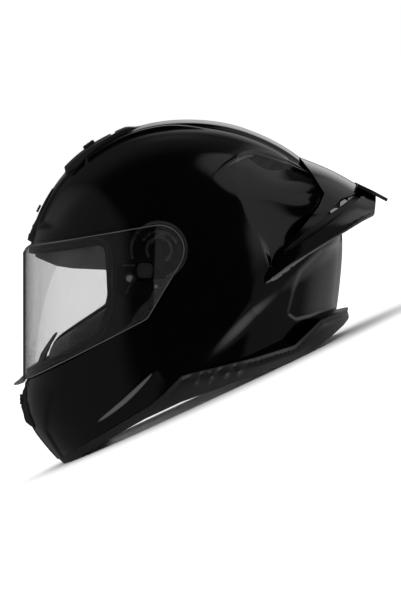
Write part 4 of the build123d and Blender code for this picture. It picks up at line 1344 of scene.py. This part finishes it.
# ---------------------------------------------------------------- studio
# Walls seen only in reflections: a radiance, and the head directions with the cosines
# between which each fades in.
LEFT, RIGHT, BACK, UP, DOWN = (1, 0, 0), (-1, 0, 0), (0, 1, 0), (0, 0, 1), (0, 0, -1)
STUDIO_WALLS = [
    (0.11, [((0, -0.9, -0.44), 0.2, 0.44), ((0, -0.75, -0.66), -0.03, 0.05)]),
    (0.4, [(BACK, 0.52, 0.62), (UP, 0.0, 0.16)]),
    (0.12, [(BACK, 0.57, 0.63), (DOWN, -0.2, -0.02), (LEFT, -0.6, 0.35)]),
    (0.95, [(BACK, 0.78, 0.95), (UP, 0.0, 0.14)]),
    (0.74, [(RIGHT, 0.62, 0.95), (BACK, -0.35, 0.1), (UP, 0.0, 0.25)]),
    (0.035, [(RIGHT, -0.1, 0.5)]),
    (0.35, [(BACK, 0.22, 0.4), (RIGHT, -0.2, 0.3)]),
    (1.3, [((0, 0.42, -0.91), 0.76, 0.9)]),
    (0.4, [((0, 0.6, 0.8), 0.86, 0.91)]),
]
STUDIO_DARK = 0.006

world = bpy.data.worlds.new("studio")
bpy.context.scene.world = world
world.use_nodes = True
world.node_tree.nodes.clear()
world.cycles.sampling_method = "NONE"
studio_place = node(world, "ShaderNodeTexCoord")


def lit_side(direction, low, high):
    """Share of a studio wall seen along a ray: 0 to 1 as the ray turns towards a head direction."""
    axis = Vector(stand([direction])[0]) - Vector(stand([(0, 0, 0)])[0])
    dot = node(world, "ShaderNodeVectorMath", operation="DOT_PRODUCT")
    wire(world, studio_place, "Generated", dot, 0)
    dot.inputs[1].default_value = axis.normalized()
    step = node(world, "ShaderNodeMapRange", interpolation_type="SMOOTHSTEP")
    wire(world, dot, "Value", step, "Value")
    step.inputs["From Min"].default_value, step.inputs["From Max"].default_value = low, high
    return step.outputs["Result"]


def combine(operation, first, second):
    made = node(world, "ShaderNodeMath", operation=operation)
    for entry, value in zip(made.inputs, (first, second)):
        if isinstance(value, float):
            entry.default_value = value
        else:
            world.node_tree.links.new(value, entry)
    return made.outputs["Value"]


walls = STUDIO_DARK
for radiance, sides in STUDIO_WALLS:
    wall = radiance
    for direction, low, high in sides:
        wall = combine("MULTIPLY", wall, lit_side(direction, low, high))
    walls = combine("MAXIMUM", walls, wall)
room, seen = node(world, "ShaderNodeBackground"), node(world, "ShaderNodeBackground")
for light in (room, seen):
    light.inputs["Color"].default_value = (1, 1, 1, 1)
world.node_tree.links.new(walls, room.inputs["Strength"])
mix = node(world, "ShaderNodeMixShader")
bounced = combine("GREATER_THAN", node(world, "ShaderNodeLightPath").outputs["Glossy Depth"], 0.5)
world.node_tree.links.new(bounced, mix.inputs[0])
wire(world, seen, "Background", mix, 1)
wire(world, room, "Background", mix, 2)
wire(world, mix, "Shader", node(world, "ShaderNodeOutputWorld"), "Surface")

lamp = bpy.data.lights.new("key", "SUN")
lamp.energy, lamp.angle = 1.5, math.radians(52.0)
key = add_object("key", lamp)
key.rotation_mode = "QUATERNION"
key.rotation_quaternion = Vector((0.62, -0.12, -1.0)).to_track_quat("-Z", "Y")
key.visible_glossy = False

floor_mesh = bpy.data.meshes.new("floor")
FLOOR_REACH = 14.0
floor_mesh.from_pydata([(sx * FLOOR_REACH, sy * FLOOR_REACH, 0) for sx, sy in CORNERS], [],
                       [(0, 1, 2, 3)])
floor = add_object("floor", floor_mesh)
floor_mesh.materials.append(material("pale_floor", (0.88, 0.88, 0.88), 0.9, Specular_IOR_Level=0.0))
floor.visible_glossy = False
bpy.context.scene.view_settings.view_transform = "Standard"

# ---------------------------------------------------------------- carried-over CAD nodes
LOOKS = {
    "gloss_black_shell": PAINT, "satin_black_plastic": SATIN, "black_rubber": RUBBER,
    "bright_steel": STEEL, "clear_visor": CLEAR, "black_foam": FOAM, "dark_fabric": FABRIC,
    "black_webbing": WEB,
}
slots = {part["node"]: part["material_slot"] for part in frame["record"]["subparts"]}
for name, obj in frame["nodes"].items():
    obj.data.materials.clear()
    obj.data.materials.append(PLATE if name.startswith("visor_hub") else LOOKS[slots[name]])
